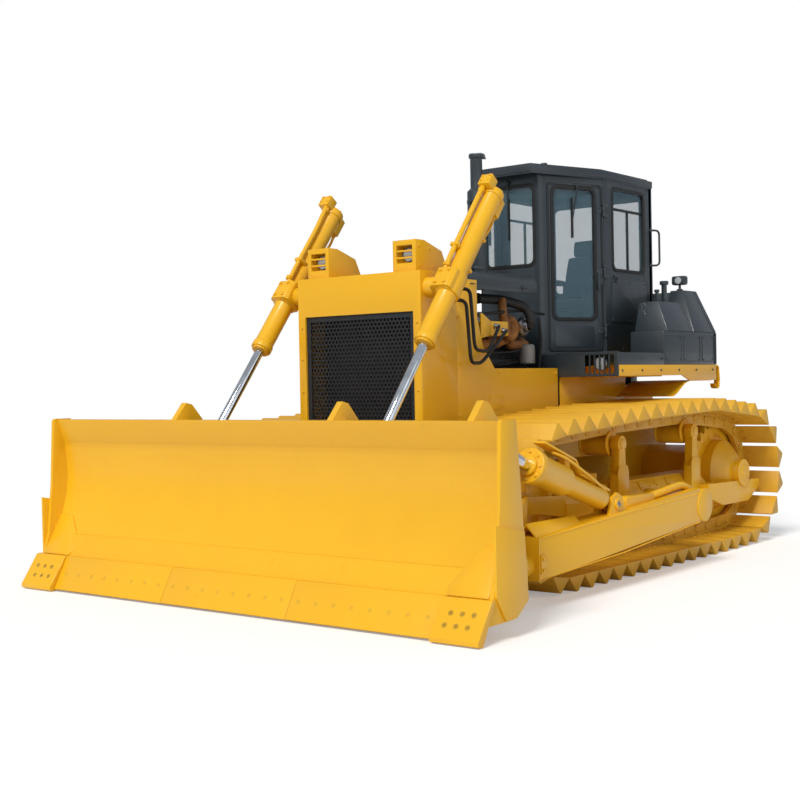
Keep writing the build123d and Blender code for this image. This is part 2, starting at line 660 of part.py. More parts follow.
# Cab
def cab_outline(grow):
    """The cab's plan, grown outwards by a distance."""
    nose = (CAB_NOSE_HALF, CAB_FRONT_Y)
    corner = (CAB_HALF, CAB_CORNER_Y)
    facet = math.atan2(corner[1] - nose[1], corner[0] - nose[0])
    at_nose = grow * math.tan((math.pi / 2 - (math.pi / 2 - facet)) / 2)
    at_corner = grow * math.tan((math.pi / 2 - facet) / 2)
    right = [(CAB_NOSE_HALF + at_nose, CAB_FRONT_Y - grow), (CAB_HALF + grow, CAB_CORNER_Y - at_corner)]
    right += [(CAB_HALF + grow, CAB_REAR_Y + grow)]
    return right + [(-x, y) for x, y in reversed(right)]


def facet_plane():
    """The left door wall's outer plane: x along the wall to the rear, y up, z outwards."""
    run = Vector(CAB_HALF - CAB_NOSE_HALF, CAB_CORNER_Y - CAB_FRONT_Y, 0)
    outward = Vector(run.Y, -run.X, 0)
    return Plane(origin=(CAB_NOSE_HALF, CAB_FRONT_Y, CAB_FLOOR_Z), x_dir=run, z_dir=outward)


FACET = math.hypot(CAB_HALF - CAB_NOSE_HALF, CAB_CORNER_Y - CAB_FRONT_Y)
WALL_HEIGHT = CAB_EAVES_Z - CAB_FLOOR_Z


def pane(plane, x0, x1, y0, y1, depth0, depth1, corner):
    """A rounded panel on a wall's plane, from depth0 to depth1 inwards of it."""
    shape = plane.offset(-depth1) * Pos((x0 + x1) / 2, (y0 + y1) / 2) * RectangleRounded(x1 - x0, y1 - y0, corner)
    return extrude(shape, amount=depth1 - depth0, dir=tuple(plane.z_dir))


DOOR_SPAN = (55, FACET - 30)
DOOR_RISE = (25, WALL_HEIGHT - 75)
DOOR_PANE = (DOOR_SPAN[0] + 75, DOOR_SPAN[1] - 75, 270, WALL_HEIGHT - 140)


def front_plane():
    return Plane(origin=(0, CAB_FRONT_Y, CAB_FLOOR_Z), x_dir=(1, 0, 0), z_dir=(0, -1, 0))


def flank_plane():
    return Plane(origin=(CAB_HALF, CAB_CORNER_Y, CAB_FLOOR_Z), x_dir=(0, 1, 0), z_dir=(1, 0, 0))


def rear_plane():
    return Plane(origin=(0, CAB_REAR_Y, CAB_FLOOR_Z), x_dir=(-1, 0, 0), z_dir=(0, 1, 0))


FRONT_PANE = (-CAB_NOSE_HALF + 45, CAB_NOSE_HALF - 45, 420, WALL_HEIGHT - 110)
FLANK_PANE = (70, CAB_REAR_Y - CAB_CORNER_Y - 90, 640, WALL_HEIGHT - 110)
REAR_PANE = (-CAB_HALF + 110, CAB_HALF - 110, 640, WALL_HEIGHT - 110)


def cab_body():
    """Cab walls and floor, with the door and window openings cut."""
    outer = floor_plate(cab_outline(0), CAB_FLOOR_Z, CAB_EAVES_Z)
    inner = floor_plate(cab_outline(-CAB_WALL), CAB_FLOOR_Z + 30, CAB_EAVES_Z + 10)
    cab = outer - inner
    deep = CAB_WALL + 40
    cab -= pane(front_plane(), *FRONT_PANE, -40, deep, 60)
    cab -= pane(rear_plane(), *REAR_PANE, -40, deep, 60)
    flank = pane(flank_plane(), *FLANK_PANE, -40, deep, 60)
    door = pane(facet_plane(), *DOOR_SPAN, *DOOR_RISE, -40, deep + 30, 40)
    cab -= flank
    cab -= mirrored(flank)
    cab -= door
    cab -= mirrored(door)
    for rise in HINGE_RISE:
        hinge = hinge_on_body(rise)
        cab += hinge
        cab += mirrored(hinge)
    return cab


def cab_roof():
    lid = floor_plate(cab_outline(14), CAB_EAVES_Z, CAB_TOP_Z - 20)
    cap = floor_plate(cab_outline(-30), CAB_TOP_Z - 20, CAB_TOP_Z)
    return lid + cap


HINGE_RISE = (220, 760, 1320)
HINGE_RADIUS = 13
HINGE_PIN = 6
HINGE_OUT = 14
HINGE_HALF = 30
HINGE_X = FACET - 10


def hinge_axis():
    """The door's hinge line in plan."""
    spot = facet_plane() * Pos(HINGE_X, 0, HINGE_OUT)
    return spot.position.X, spot.position.Y


def hinge_on_door(rise):
    x, y = hinge_axis()
    z = CAB_FLOOR_Z + rise
    leaf = pane(facet_plane(), HINGE_X - 75, HINGE_X, rise - HINGE_HALF, rise + HINGE_HALF, -5, 0, 4)
    return leaf + drum_z(x, y, HINGE_RADIUS, z - HINGE_HALF, z + HINGE_HALF)


def hinge_on_body(rise):
    """Two knuckles, the pin through them and a leaf on the cab's side."""
    x, y = hinge_axis()
    z = CAB_FLOOR_Z + rise
    far = HINGE_HALF + 30
    pin = drum_z(x, y, HINGE_PIN, z - far, z + far)
    for low, high in ((z - far, z - HINGE_HALF - 2), (z + HINGE_HALF + 2, z + far)):
        pin += drum_z(x, y, HINGE_RADIUS, low, high)
        pin += block(CAB_HALF, CAB_HALF + 8, y, CAB_CORNER_Y + 60, low, high)
    return pin


def door():
    """Left door: a frame panel with its window and three hinge knuckles."""
    x0, x1 = DOOR_SPAN[0] + DOOR_GAP, DOOR_SPAN[1] - DOOR_GAP
    y0, y1 = DOOR_RISE[0] + DOOR_GAP, DOOR_RISE[1] - DOOR_GAP
    leaf = pane(facet_plane(), x0, x1, y0, y1, 0, DOOR_THICK, 34)
    leaf -= pane(facet_plane(), *DOOR_PANE, -10, DOOR_THICK + 10, 60)
    x, y = hinge_axis()
    for rise in HINGE_RISE:
        leaf += hinge_on_door(rise)
    return leaf - drum_z(x, y, HINGE_PIN + PIVOT_FIT, CAB_FLOOR_Z, CAB_EAVES_Z)


def door_glass():
    return pane(facet_plane(), DOOR_PANE[0] + FIT, DOOR_PANE[1] - FIT, DOOR_PANE[2] + FIT, DOOR_PANE[3] - FIT,
                15, 15 + GLASS, 60)


def window(plane, span):
    x0, x1, y0, y1 = span
    return pane(plane, x0 + FIT, x1 - FIT, y0 + FIT, y1 - FIT, 18, 18 + GLASS, 60)


def cab_glass():
    flank = window(flank_plane(), FLANK_PANE)
    return [window(front_plane(), FRONT_PANE), window(rear_plane(), REAR_PANE), flank, mirrored(flank)]


def seat():
    """High-backed operator's seat on its pedestal."""
    floor = CAB_FLOOR_Z + 30
    pedestal = block(-180, 180, 4560, 4900, floor, 2180)
    cushion = block(-260, 260, 4440, 4960, 2180, 2330)
    back = side_plate([(4900, 2330), (4960, 2330), (5060, 2870), (4990, 2890), (4930, 2860), (4840, 2330)], -250, 250)
    head = block(-140, 140, 4960, 5060, 2880, 3040)
    return pedestal + cushion + back + head


def console():
    left = block(300, 480, 4350, 4800, CAB_FLOOR_Z + 30, 2360)
    lever = rod((390, 4450, 2355), (385, 4390, 2560), 14)
    right = block(-480, -300, 4350, 4800, CAB_FLOOR_Z + 30, 2360)
    lever_right = rod((-390, 4450, 2355), (-385, 4390, 2560), 14)
    dash = block(-160, 160, 3680, 3800, CAB_FLOOR_Z + 30, 2560)
    return [left + lever, right + lever_right, dash]


def platform():
    """Dark deck below the cab, over the transmission."""
    deck = block(-FENDER_INNER, FENDER_INNER, HOOD_REAR_Y + 10, CAB_REAR_Y, CAB_FLOOR_Z - 105, CAB_FLOOR_Z)
    firewall = block(-560, 560, HOOD_REAR_Y + 10, HOOD_REAR_Y + 34, CASE_Z[1], CAB_FLOOR_Z - 105)
    posts = None
    for x in (-500, 400):
        for y in (3500, 4900):
            leg = block(x, x + 100, y, y + 120, RAIL_TOP if y < CASE_Y[0] else CASE_Z[1], CAB_FLOOR_Z - 105)
            posts = leg if posts is None else posts + leg
    return deck + firewall + posts


# Blade
def skin_y(z, depth=0):
    """Where the blade's curved face lies at a height, or a layer behind it."""
    (ya, za), (yb, zb), (yc, zc) = EDGE_TOP, BLADE_BELLY, (BLADE_TOP_Y, BLADE_TOP_Z)
    cross = 2 * (ya * (zb - zc) + yb * (zc - za) + yc * (za - zb))
    a, b, c = ya * ya + za * za, yb * yb + zb * zb, yc * yc + zc * zc
    y0 = (a * (zb - zc) + b * (zc - za) + c * (za - zb)) / cross
    z0 = (a * (yc - yb) + b * (ya - yc) + c * (yb - ya)) / cross
    radius = math.dist((ya, za), (y0, z0))
    return y0 + math.sqrt(radius ** 2 - (z - z0) ** 2) + depth


def edge_slope(z):
    """Where the cutting edge's rear face lies at a height."""
    return EDGE_FOOT[0] + (EDGE_TOP[0] - EDGE_FOOT[0]) * (z - EDGE_FOOT[1]) / (EDGE_TOP[1] - EDGE_FOOT[1])


def skin_line(low, high, depth, count=9):
    """Points up the blade's face between two heights, a depth behind it."""
    heights = [low + (high - low) * i / count for i in range(count + 1)]
    return [(skin_y(z, depth), z) for z in heights]


def moldboard():
    """Curved skin, back box beams, top rail, end plates and the brackets behind."""
    face = skin_line(EDGE_TOP[1], BLADE_TOP_Z, FIT)
    back = skin_line(EDGE_TOP[1], BLADE_TOP_Z, SKIN)
    blade = side_plate(face + back[::-1], -BLADE_HALF, BLADE_HALF)
    rail = [(BLADE_TOP_Y + 2, BLADE_TOP_Z), (BLADE_TOP_Y + 140, BLADE_TOP_Z), (BLADE_TOP_Y + 150, 1200)]
    rail += [(BLADE_TOP_Y + 60, 1140)]
    blade += side_plate(rail, -BLADE_HALF, BLADE_HALF)
    foot = [(edge_slope(120) + FIT, 120), (EDGE_TOP[0] + FIT, EDGE_TOP[1]), (160, 420), (420, 420)]
    foot += [(440, 250), (380, 120)]
    blade += side_plate(foot, -BLADE_HALF, BLADE_HALF)
    middle = skin_line(640, 880, SKIN / 2, 3) + [(400, 860), (400, 660)]
    blade += side_plate(middle, -BLADE_HALF, BLADE_HALF)
    for piece in [end_plate(), arm_socket(), *lift_bracket(), *tilt_ears()]:
        blade += [piece, mirrored(piece)]
    return blade + horn(TILT_X + 165)


def end_plate():
    outline = [(185, 1307), (200, 1323), (352, 1323), (456, 243), (300, 125), (176, 110)]
    outline += [(edge_slope(110) + FIT, 110), (EDGE_TOP[0] + FIT, EDGE_TOP[1]), (120, 420), (160, 800)]
    return side_plate(outline, BLADE_HALF, BLADE_HALF + END_PLATE)


def lift_bracket():
    """A pair of plates behind the blade that take the lift rod's eye."""
    outline = [(330, BLADE_TOP_Z - 10), (480, BLADE_TOP_Z - 10), (660, 1040), (650, 940), (560, 900), (330, 700)]
    outline += skin_line(740, 1200, SKIN / 2, 4)
    bore = drum_x(LIFT_PIN_Y, LIFT_PIN_Z, 32, LIFT_X - 100, LIFT_X + 100)
    plates = [side_plate(outline, x, x + 28) - bore for x in (LIFT_X - 82, LIFT_X + 54)]
    return plates + [horn(LIFT_X - 80)]


def horn(x):
    """The thick gusset whose blunt tip stands above the blade's top edge."""
    top = BLADE_TOP_Z
    outline = [(BLADE_TOP_Y + SKIN / 2, top - 15), (BLADE_TOP_Y + SKIN / 2, top), (335, top + 125), (392, top + 112)]
    outline += [(495, top), (500, top - 120), (330, top - 120)]
    return side_plate(outline, x, x + 50)


def cutting_edge():
    """Three bolted edge plates along the blade's foot, with their bolt holes."""
    outline = [EDGE_FOOT, (EDGE_FOOT[0] - 24, EDGE_FOOT[1] + 12), (EDGE_TOP[0] - 26, EDGE_TOP[1]), EDGE_TOP]
    edges = []
    for i in (-1, 0, 1):
        x0 = i * EDGE_LENGTH - EDGE_LENGTH / 2 + 1
        edges.append(side_plate(outline, x0, x0 + EDGE_LENGTH - 2))
    return edges


def end_bits():
    outline = [(-95, 4), (-122, 13), (-120, 40), (EDGE_TOP[0] - 38, EDGE_TOP[1]), EDGE_TOP, EDGE_FOOT, (-70, 4)]
    bits = []
    for side in (-1, 1):
        x0, x1 = sorted((side * (1.5 * EDGE_LENGTH + 1), side * (1.5 * EDGE_LENGTH + END_BIT_LENGTH)))
        bits.append(side_plate(outline, x0, x1))
    return bits


def push_arm():
    """Box-section push arm with its rear bearing and front ball neck."""
    outline = [(ARM_FRONT_Y, ARM_FRONT_Z[0]), (ARM_FRONT_Y, ARM_FRONT_Z[1]), (ARM_PIVOT_Y - 80, ARM_REAR_Z[1])]
    outline += [(ARM_PIVOT_Y - 80, ARM_REAR_Z[0])]
    arm = side_plate(outline, ARM_INNER_X, ARM_OUTER_X)
    arm += drum_x(ARM_PIVOT_Y, ARM_PIVOT_Z, 135, ARM_INNER_X, ARM_OUTER_X)
    arm -= drum_x(ARM_PIVOT_Y, ARM_PIVOT_Z, ARM_PIN_RADIUS + PIVOT_FIT, ARM_INNER_X - 10, ARM_OUTER_X + 10)
    arm += rod((TILT_X, ARM_BALL_Y + 20, ARM_BALL_Z + 2), (TILT_X, ARM_FRONT_Y + 5, ARM_BALL_Z + 12), 75)
    arm += Pos(TILT_X, ARM_BALL_Y, ARM_BALL_Z) * Sphere(ARM_BALL)
    return arm + arm_ears()


def arm_socket():
    """The blade's rear socket that holds the push arm's ball."""
    outline = [(400, 160), (400, 440), (840, 430), (900, 380), (900, 215), (840, 165)]
    socket = side_plate(outline, TILT_X - 150, TILT_X + 150)
    socket -= Pos(TILT_X, ARM_BALL_Y, ARM_BALL_Z) * Sphere(ARM_BALL + FIT)
    return socket - rod((TILT_X, ARM_BALL_Y + 20, ARM_BALL_Z + 2), (TILT_X, ARM_FRONT_Y + 5, ARM_BALL_Z + 12), 90)


def tilt_axis(distance):
    """A point on the tilt cylinder's line, measured from its rear pin."""
    run = math.hypot(TILT_PIN_Y - TILT_FRONT_Y, TILT_FRONT_Z - TILT_PIN_Z)
    t = distance / run
    return (TILT_X, TILT_PIN_Y + (TILT_FRONT_Y - TILT_PIN_Y) * t, TILT_PIN_Z + (TILT_FRONT_Z - TILT_PIN_Z) * t)


def tilt_barrel():
    """Stepped tilt cylinder with its bolted head, pinned on the arm."""
    barrel = rod(tilt_axis(20), tilt_axis(150), 44) + rod(tilt_axis(140), tilt_axis(700), 80)
    barrel += rod(tilt_axis(680), tilt_axis(1080), 108)
    barrel += rod(tilt_axis(1080), tilt_axis(1150), 125)
    barrel += drum_x(TILT_PIN_Y, TILT_PIN_Z, TILT_EYE, TILT_X - 45, TILT_X + 45)
    return barrel


def tilt_rod():
    stick = rod(tilt_axis(1150), tilt_axis(1760), 44)
    return stick + drum_x(TILT_FRONT_Y, TILT_FRONT_Z, 70, TILT_X - 45, TILT_X + 45)


def tilt_brace():
    """The fixed screw brace on the other side."""
    brace = rod(tilt_axis(20), tilt_axis(150), 44) + rod(tilt_axis(140), tilt_axis(900), 62)
    brace += rod(tilt_axis(900), tilt_axis(1760), 44)
    brace += drum_x(TILT_PIN_Y, TILT_PIN_Z, TILT_EYE, TILT_X - 45, TILT_X + 45)
    brace += drum_x(TILT_FRONT_Y, TILT_FRONT_Z, 70, TILT_X - 45, TILT_X + 45)
    return mirrored(brace)


def tilt_ears():
    """Ears on the blade that hold the tilt cylinder's rod."""
    outline = [(330, BLADE_TOP_Z - 5), (400, BLADE_TOP_Z - 5), (TILT_FRONT_Y + 50, TILT_FRONT_Z + 70)]
    outline += [(TILT_FRONT_Y + 80, TILT_FRONT_Z), (TILT_FRONT_Y, TILT_FRONT_Z - 85)]
    outline += skin_line(1000, 1240, SKIN / 2, 3)
    return [side_plate(outline, x, x + 25) for x in (TILT_X - 71, TILT_X + 46)]


def arm_ears():
    """Ears on the push arm that hold the tilt cylinder's rear pin."""
    outline = [(TILT_PIN_Y - 130, 540), (TILT_PIN_Y - 75, TILT_PIN_Z + 50), (TILT_PIN_Y, TILT_PIN_Z + 85)]
    outline += [(TILT_PIN_Y + 75, TILT_PIN_Z + 50), (TILT_PIN_Y + 130, 545)]
    return [side_plate(outline, x, x + 25) for x in (TILT_X - 71, TILT_X + 46)]


# Lift cylinders
def lift_axis(distance):
    """A point on the lift cylinder's line, from its trunnion down towards the blade."""
    run = math.hypot(TRUNNION_Y - LIFT_PIN_Y, TRUNNION_Z - LIFT_PIN_Z)
    t = distance / run
    return (LIFT_X, TRUNNION_Y + (LIFT_PIN_Y - TRUNNION_Y) * t, TRUNNION_Z + (LIFT_PIN_Z - TRUNNION_Z) * t)


LIFT_RUN = math.hypot(TRUNNION_Y - LIFT_PIN_Y, TRUNNION_Z - LIFT_PIN_Z)


def lift_cylinder():
    """Barrel in its trunnion yoke, hollow for the rod, with the head block on top."""
    barrel = rod(lift_axis(-LIFT_BARREL_UP), lift_axis(LIFT_BARREL_DOWN), LIFT_BARREL_RADIUS)
    barrel += rod(lift_axis(-90), lift_axis(90), LIFT_BARREL_RADIUS + 24)
    barrel += rod(lift_axis(LIFT_BARREL_DOWN - 50), lift_axis(LIFT_BARREL_DOWN), LIFT_BARREL_RADIUS + 8)
    barrel += drum_x(TRUNNION_Y, TRUNNION_Z, 62, LIFT_X - 106, LIFT_X)
    barrel -= drum_x(TRUNNION_Y, TRUNNION_Z, TRUNNION_RADIUS + PIVOT_FIT, LIFT_X - 120,
                     LIFT_X - LIFT_BARREL_RADIUS - 5)
    barrel -= rod(lift_axis(-LIFT_BARREL_UP + 60), lift_axis(LIFT_BARREL_DOWN + 10), LIFT_ROD_RADIUS + PIVOT_FIT)
    return barrel


def lift_rod():
    stick = rod(lift_axis(-290), lift_axis(LIFT_RUN - 30), LIFT_ROD_RADIUS)
    return stick + drum_x(LIFT_PIN_Y, LIFT_PIN_Z, 68, LIFT_X - 46, LIFT_X + 46)


def as_list(shape):
    if isinstance(shape, (list, tuple, ShapeList)):
        return list(shape)
    return list(shape.solids())


def assemble():
    """Every node by name, as lists of solids."""
    nodes = {}
    sided = {
        "track": track, "track_frame": track_frame, "door": door, "door_glass": door_glass,
        "push_arm": push_arm, "lift_cylinder": lift_cylinder, "lift_rod": lift_rod,
    }
    both_sides = {
        "sprockets": sprocket, "idlers": idler, "track_rollers": track_rollers,
        "carrier_rollers": carrier_rollers, "final_drives": final_drive, "headlamps": headlamp,
        "headlamp_lenses": headlamp_lens, "side_plates": side_plates, "fenders": fender,
        "fender_boxes": fender_box,
    }
    singles = {
        "main_frame": main_frame, "drawbar": drawbar, "equalizer_bar": equalizer_bar,
        "radiator_guard": radiator_guard, "grille": grille, "hood": hood, "engine_block": engine_block,
        "turbocharger": turbocharger, "engine_bracket": engine_bracket, "muffler": muffler,
        "rain_cap": rain_cap, "rear_tanks": rear_tanks, "cab_body": cab_body, "cab_roof": cab_roof,
        "cab_glass": cab_glass, "seat": seat, "console": console, "platform": platform,
        "moldboard": moldboard, "cutting_edge": cutting_edge, "end_bits": end_bits,
        "tilt_barrel": tilt_barrel, "tilt_rod": tilt_rod, "tilt_brace": tilt_brace,
    }
    for name, make in sided.items():
        left = as_list(make())
        nodes[name + "_left"] = left
        nodes[name + "_right"] = [mirrored(solid) for solid in left]
    for name, make in both_sides.items():
        left = as_list(make())
        nodes[name] = left + [mirrored(solid) for solid in left]
    for name, make in singles.items():
        nodes[name] = as_list(make())
    return nodes


def centre_y(nodes):
    boxes = [solid.bounding_box() for solids in nodes.values() for solid in solids]
    return (min(b.min.Y for b in boxes) + max(b.max.Y for b in boxes)) / 2


def main():
    os.makedirs("parts", exist_ok=True)
    nodes = assemble()
    shift = centre_y(nodes)
    for name, solids in nodes.items():
        moved = [Pos(0, -shift, 0) * solid for solid in solids]
        export_step(Compound(children=moved) if len(moved) > 1 else moved[0], f"parts/{name}.step")
    print("shift", round(shift, 3), "idler y", round(IDLER_Y, 2))
    print("blade_lift", ARM_PIVOT_Y - shift, ARM_PIVOT_Z)
    print("lift_trunnion", TRUNNION_Y - shift, TRUNNION_Z, "rod direction", lift_axis(1), lift_axis(0))
    print("door hinge", hinge_axis()[0], hinge_axis()[1] - shift)
    print("rain cap", CAP_HINGE_Y - shift, CAP_HINGE_Z)


main()
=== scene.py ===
import json
from math import acos, atan2, cos, dist, exp, hypot, pi, radians, sin, sqrt

import bmesh
import bpy
from mathutils import Matrix, Vector

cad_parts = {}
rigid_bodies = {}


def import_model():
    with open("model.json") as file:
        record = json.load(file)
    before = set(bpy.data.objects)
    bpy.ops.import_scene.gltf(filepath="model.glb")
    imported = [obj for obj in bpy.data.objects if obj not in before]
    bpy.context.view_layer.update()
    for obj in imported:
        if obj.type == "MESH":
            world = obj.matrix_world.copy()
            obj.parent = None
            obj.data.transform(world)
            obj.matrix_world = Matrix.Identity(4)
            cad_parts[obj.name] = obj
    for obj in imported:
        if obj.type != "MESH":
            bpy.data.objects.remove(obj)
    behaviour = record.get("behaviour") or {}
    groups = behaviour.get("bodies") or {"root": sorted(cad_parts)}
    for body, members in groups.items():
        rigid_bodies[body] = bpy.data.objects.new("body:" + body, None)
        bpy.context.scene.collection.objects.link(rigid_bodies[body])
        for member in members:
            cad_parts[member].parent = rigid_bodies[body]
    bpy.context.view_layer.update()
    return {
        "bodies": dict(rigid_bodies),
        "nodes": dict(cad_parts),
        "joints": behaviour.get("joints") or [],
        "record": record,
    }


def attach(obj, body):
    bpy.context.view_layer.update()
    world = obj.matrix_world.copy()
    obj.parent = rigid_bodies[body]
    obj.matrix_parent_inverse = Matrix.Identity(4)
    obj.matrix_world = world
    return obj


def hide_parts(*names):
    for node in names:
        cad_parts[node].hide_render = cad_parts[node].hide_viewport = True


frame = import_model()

SHIFT_Y = -2.888085

# Camera, from a fit to the photograph
CAMERA_PLACE = (6.5418, -6.3238 + SHIFT_Y, 1.5551)
CAMERA_YAW = 38.3083
CAMERA_PITCH = -0.7321
CAMERA_ROLL = -1.0928
CAMERA_FOCAL = 1310.5545
FRAME_PIXELS = 800
SENSOR = 36.0


def link(obj):
    bpy.context.scene.collection.objects.link(obj)
    return obj


# Materials
def new_material(name):
    material = bpy.data.materials.new(name)
    material.use_nodes = True
    tree = material.node_tree
    tree.nodes.clear()
    out = tree.nodes.new("ShaderNodeOutputMaterial")
    shader = tree.nodes.new("ShaderNodeBsdfPrincipled")
    tree.links.new(shader.outputs[0], out.inputs[0])
    return material, tree, shader


def settle(node, **values):
    """Sets inputs of a node; an underscore stands for a space in an input's name."""
    for key, value in values.items():
        node.inputs[key.replace("_", " ")].default_value = value


def add_node(tree, kind, **values):
    node = tree.nodes.new(kind)
    for key, value in values.items():
        if key in node.inputs:
            node.inputs[key].default_value = value
        else:
            setattr(node, key, value)
    return node


def noise(tree, scale, detail=3.0, rough=0.5):
    place = tree.nodes.new("ShaderNodeTexCoord")
    node = add_node(tree, "ShaderNodeTexNoise", Scale=scale, Detail=detail, Roughness=rough)
    tree.links.new(place.outputs["Object"], node.inputs["Vector"])
    return node.outputs["Fac"]


def ramp(tree, value, stops):
    node = tree.nodes.new("ShaderNodeValToRGB")
    band = node.color_ramp
    while len(band.elements) < len(stops):
        band.elements.new(0.5)
    for element, (place, colour) in zip(band.elements, stops):
        element.position = place
        element.color = (*colour, 1.0) if len(colour) == 3 else colour
    tree.links.new(value, node.inputs[0])
    return node.outputs[0]


def remap(tree, value, low, high):
    node = add_node(tree, "ShaderNodeMapRange")
    node.inputs["To Min"].default_value = low
    node.inputs["To Max"].default_value = high
    tree.links.new(value, node.inputs[0])
    return node.outputs[0]


def blend_colour(tree, factor, first, second):
    node = tree.nodes.new("ShaderNodeMix")
    node.data_type = "RGBA"
    for socket, value in ((node.inputs[0], factor), (node.inputs[6], first), (node.inputs[7], second)):
        if hasattr(value, "is_linked"):
            tree.links.new(value, socket)
        elif isinstance(value, (int, float)):
            socket.default_value = value
        else:
            socket.default_value = (*value, 1.0)
    return node.outputs[2]


def multiply(tree, first, second):
    node = tree.nodes.new("ShaderNodeMath")
    node.operation = "MULTIPLY"
    for socket, value in zip(node.inputs, (first, second)):
        if isinstance(value, (int, float)):
            socket.default_value = value
        else:
            tree.links.new(value, socket)
    return node.outputs[0]


def bump(tree, shader, height, strength, distance):
    node = add_node(tree, "ShaderNodeBump", Strength=strength, Distance=distance)
    tree.links.new(height, node.inputs["Height"])
    tree.links.new(node.outputs[0], shader.inputs["Normal"])


def remap_clamped(tree, value, low, high):
    node = add_node(tree, "ShaderNodeMapRange")
    node.inputs["From Min"].default_value = low
    node.inputs["From Max"].default_value = high
    tree.links.new(value, node.inputs[0])
    return node.outputs[0]


def paint(name, colour, deep, roughness, coat=0.3):
    """Machine enamel: slight tone drift, orange peel and a little grime in patches."""
    material, tree, shader = new_material(name)
    drift = noise(tree, 2.3, 5.0, 0.6)
    tone = ramp(tree, drift, [(0.25, deep), (0.75, colour)])
    grime = remap_clamped(tree, noise(tree, 7.0, 8.0, 0.7), 0.62, 0.86)
    tone = blend_colour(tree, multiply(tree, grime, 0.35), tone, tuple(0.55 * c for c in deep))
    tree.links.new(tone, shader.inputs["Base Color"])
    tree.links.new(remap(tree, noise(tree, 9.0, 4.0), roughness - 0.07, roughness + 0.1),
        shader.inputs["Roughness"])
    settle(shader, Coat_Weight=coat, Coat_Roughness=0.12)
    bump(tree, shader, noise(tree, 160.0, 2.0), 0.05, 0.001)
    return material


def bare_metal(name, colour, roughness, metallic=1.0, scratch=220.0):
    material, tree, shader = new_material(name)
    tone = ramp(tree, noise(tree, 12.0, 5.0), [(0.35, tuple(0.8 * c for c in colour)), (0.65, colour)])
    tree.links.new(tone, shader.inputs["Base Color"])
    shader.inputs["Metallic"].default_value = metallic
    tree.links.new(remap(tree, noise(tree, 40.0, 5.0), roughness * 0.75, roughness * 1.3),
        shader.inputs["Roughness"])
    bump(tree, shader, noise(tree, scratch, 3.0), 0.08, 0.0008)
    return material


def rough_cast(name, colour, deep, roughness, grain=60.0, strength=0.25):
    material, tree, shader = new_material(name)
    tone = ramp(tree, noise(tree, 9.0, 7.0, 0.65), [(0.35, deep), (0.65, colour)])
    tree.links.new(tone, shader.inputs["Base Color"])
    tree.links.new(remap(tree, noise(tree, 20.0, 4.0), roughness - 0.1, roughness + 0.1),
        shader.inputs["Roughness"])
    bump(tree, shader, noise(tree, grain, 4.0), strength, 0.002)
    return material


def clear_glass(name, colour, alpha):
    material, tree, shader = new_material(name)
    tone = ramp(tree, noise(tree, 1.5, 2.0), [(0.3, tuple(0.94 * c for c in colour)), (0.7, colour)])
    tree.links.new(tone, shader.inputs["Base Color"])
    settle(shader, Roughness=0.03, Alpha=alpha, Specular_IOR_Level=0.6)
    material.surface_render_method = "BLENDED"
    return material


def woven(name, colour, deep):
    material, tree, shader = new_material(name)
    place = tree.nodes.new("ShaderNodeTexCoord")
    weave = add_node(tree, "ShaderNodeTexWave", Scale=90.0, Distortion=0.6)
    tree.links.new(place.outputs["Object"], weave.inputs["Vector"])
    tone = ramp(tree, weave.outputs["Fac"], [(0.2, deep), (0.8, colour)])
    tree.links.new(tone, shader.inputs["Base Color"])
    settle(shader, Roughness=0.85, Sheen_Weight=0.2)
    bump(tree, shader, weave.outputs["Fac"], 0.3, 0.001)
    return material


YELLOW = paint("yellow_enamel", (0.85, 0.455, 0.008), (0.81, 0.425, 0.007), 0.34, 0.2)
TRACK_YELLOW = paint("track_enamel", (0.76, 0.42, 0.022), (0.60, 0.31, 0.015), 0.5, 0.1)
DARK = paint("charcoal_enamel", (0.030, 0.042, 0.052), (0.022, 0.031, 0.038), 0.38, 0.2)
BLACK = rough_cast("engine_black", (0.012, 0.012, 0.013), (0.006, 0.006, 0.007), 0.55)
SCREEN = rough_cast("screen_black", (0.018, 0.020, 0.023), (0.010, 0.012, 0.014), 0.5, 120.0, 0.1)
CHROME = bare_metal("chrome", (0.80, 0.83, 0.87), 0.09)
STEEL = bare_metal("weathered_steel", (0.30, 0.31, 0.33), 0.42)
RUSTED = rough_cast("hot_iron", (0.36, 0.15, 0.03), (0.16, 0.06, 0.015), 0.75)
RUBBER = rough_cast("rubber", (0.012, 0.012, 0.012), (0.007, 0.007, 0.007), 0.6, 140.0, 0.15)
PLASTIC = rough_cast("dark_plastic", (0.02, 0.021, 0.023), (0.014, 0.015, 0.017), 0.5, 220.0, 0.1)
CLOTH = woven("seat_cloth", (0.02, 0.02, 0.022), (0.009, 0.009, 0.01))
GLASS = clear_glass("cab_glass_tint", (0.17, 0.29, 0.36), 0.24)
BOLT_PAINT = paint("edge_bolt_enamel", (0.66, 0.40, 0.03), (0.48, 0.27, 0.02), 0.5, 0.1)
DARK_BOLT = rough_cast("end_bolt_iron", (0.10, 0.07, 0.03), (0.05, 0.035, 0.015), 0.6)
ENGINE_GREY = rough_cast("engine_castings", (0.05, 0.05, 0.052), (0.028, 0.028, 0.03), 0.5, 40.0, 0.3)
FILTER_YELLOW = paint("filter_enamel", (0.25, 0.24, 0.22), (0.17, 0.16, 0.15), 0.4, 0.2)
LENS = clear_glass("lamp_lens", (0.85, 0.88, 0.9), 0.35)

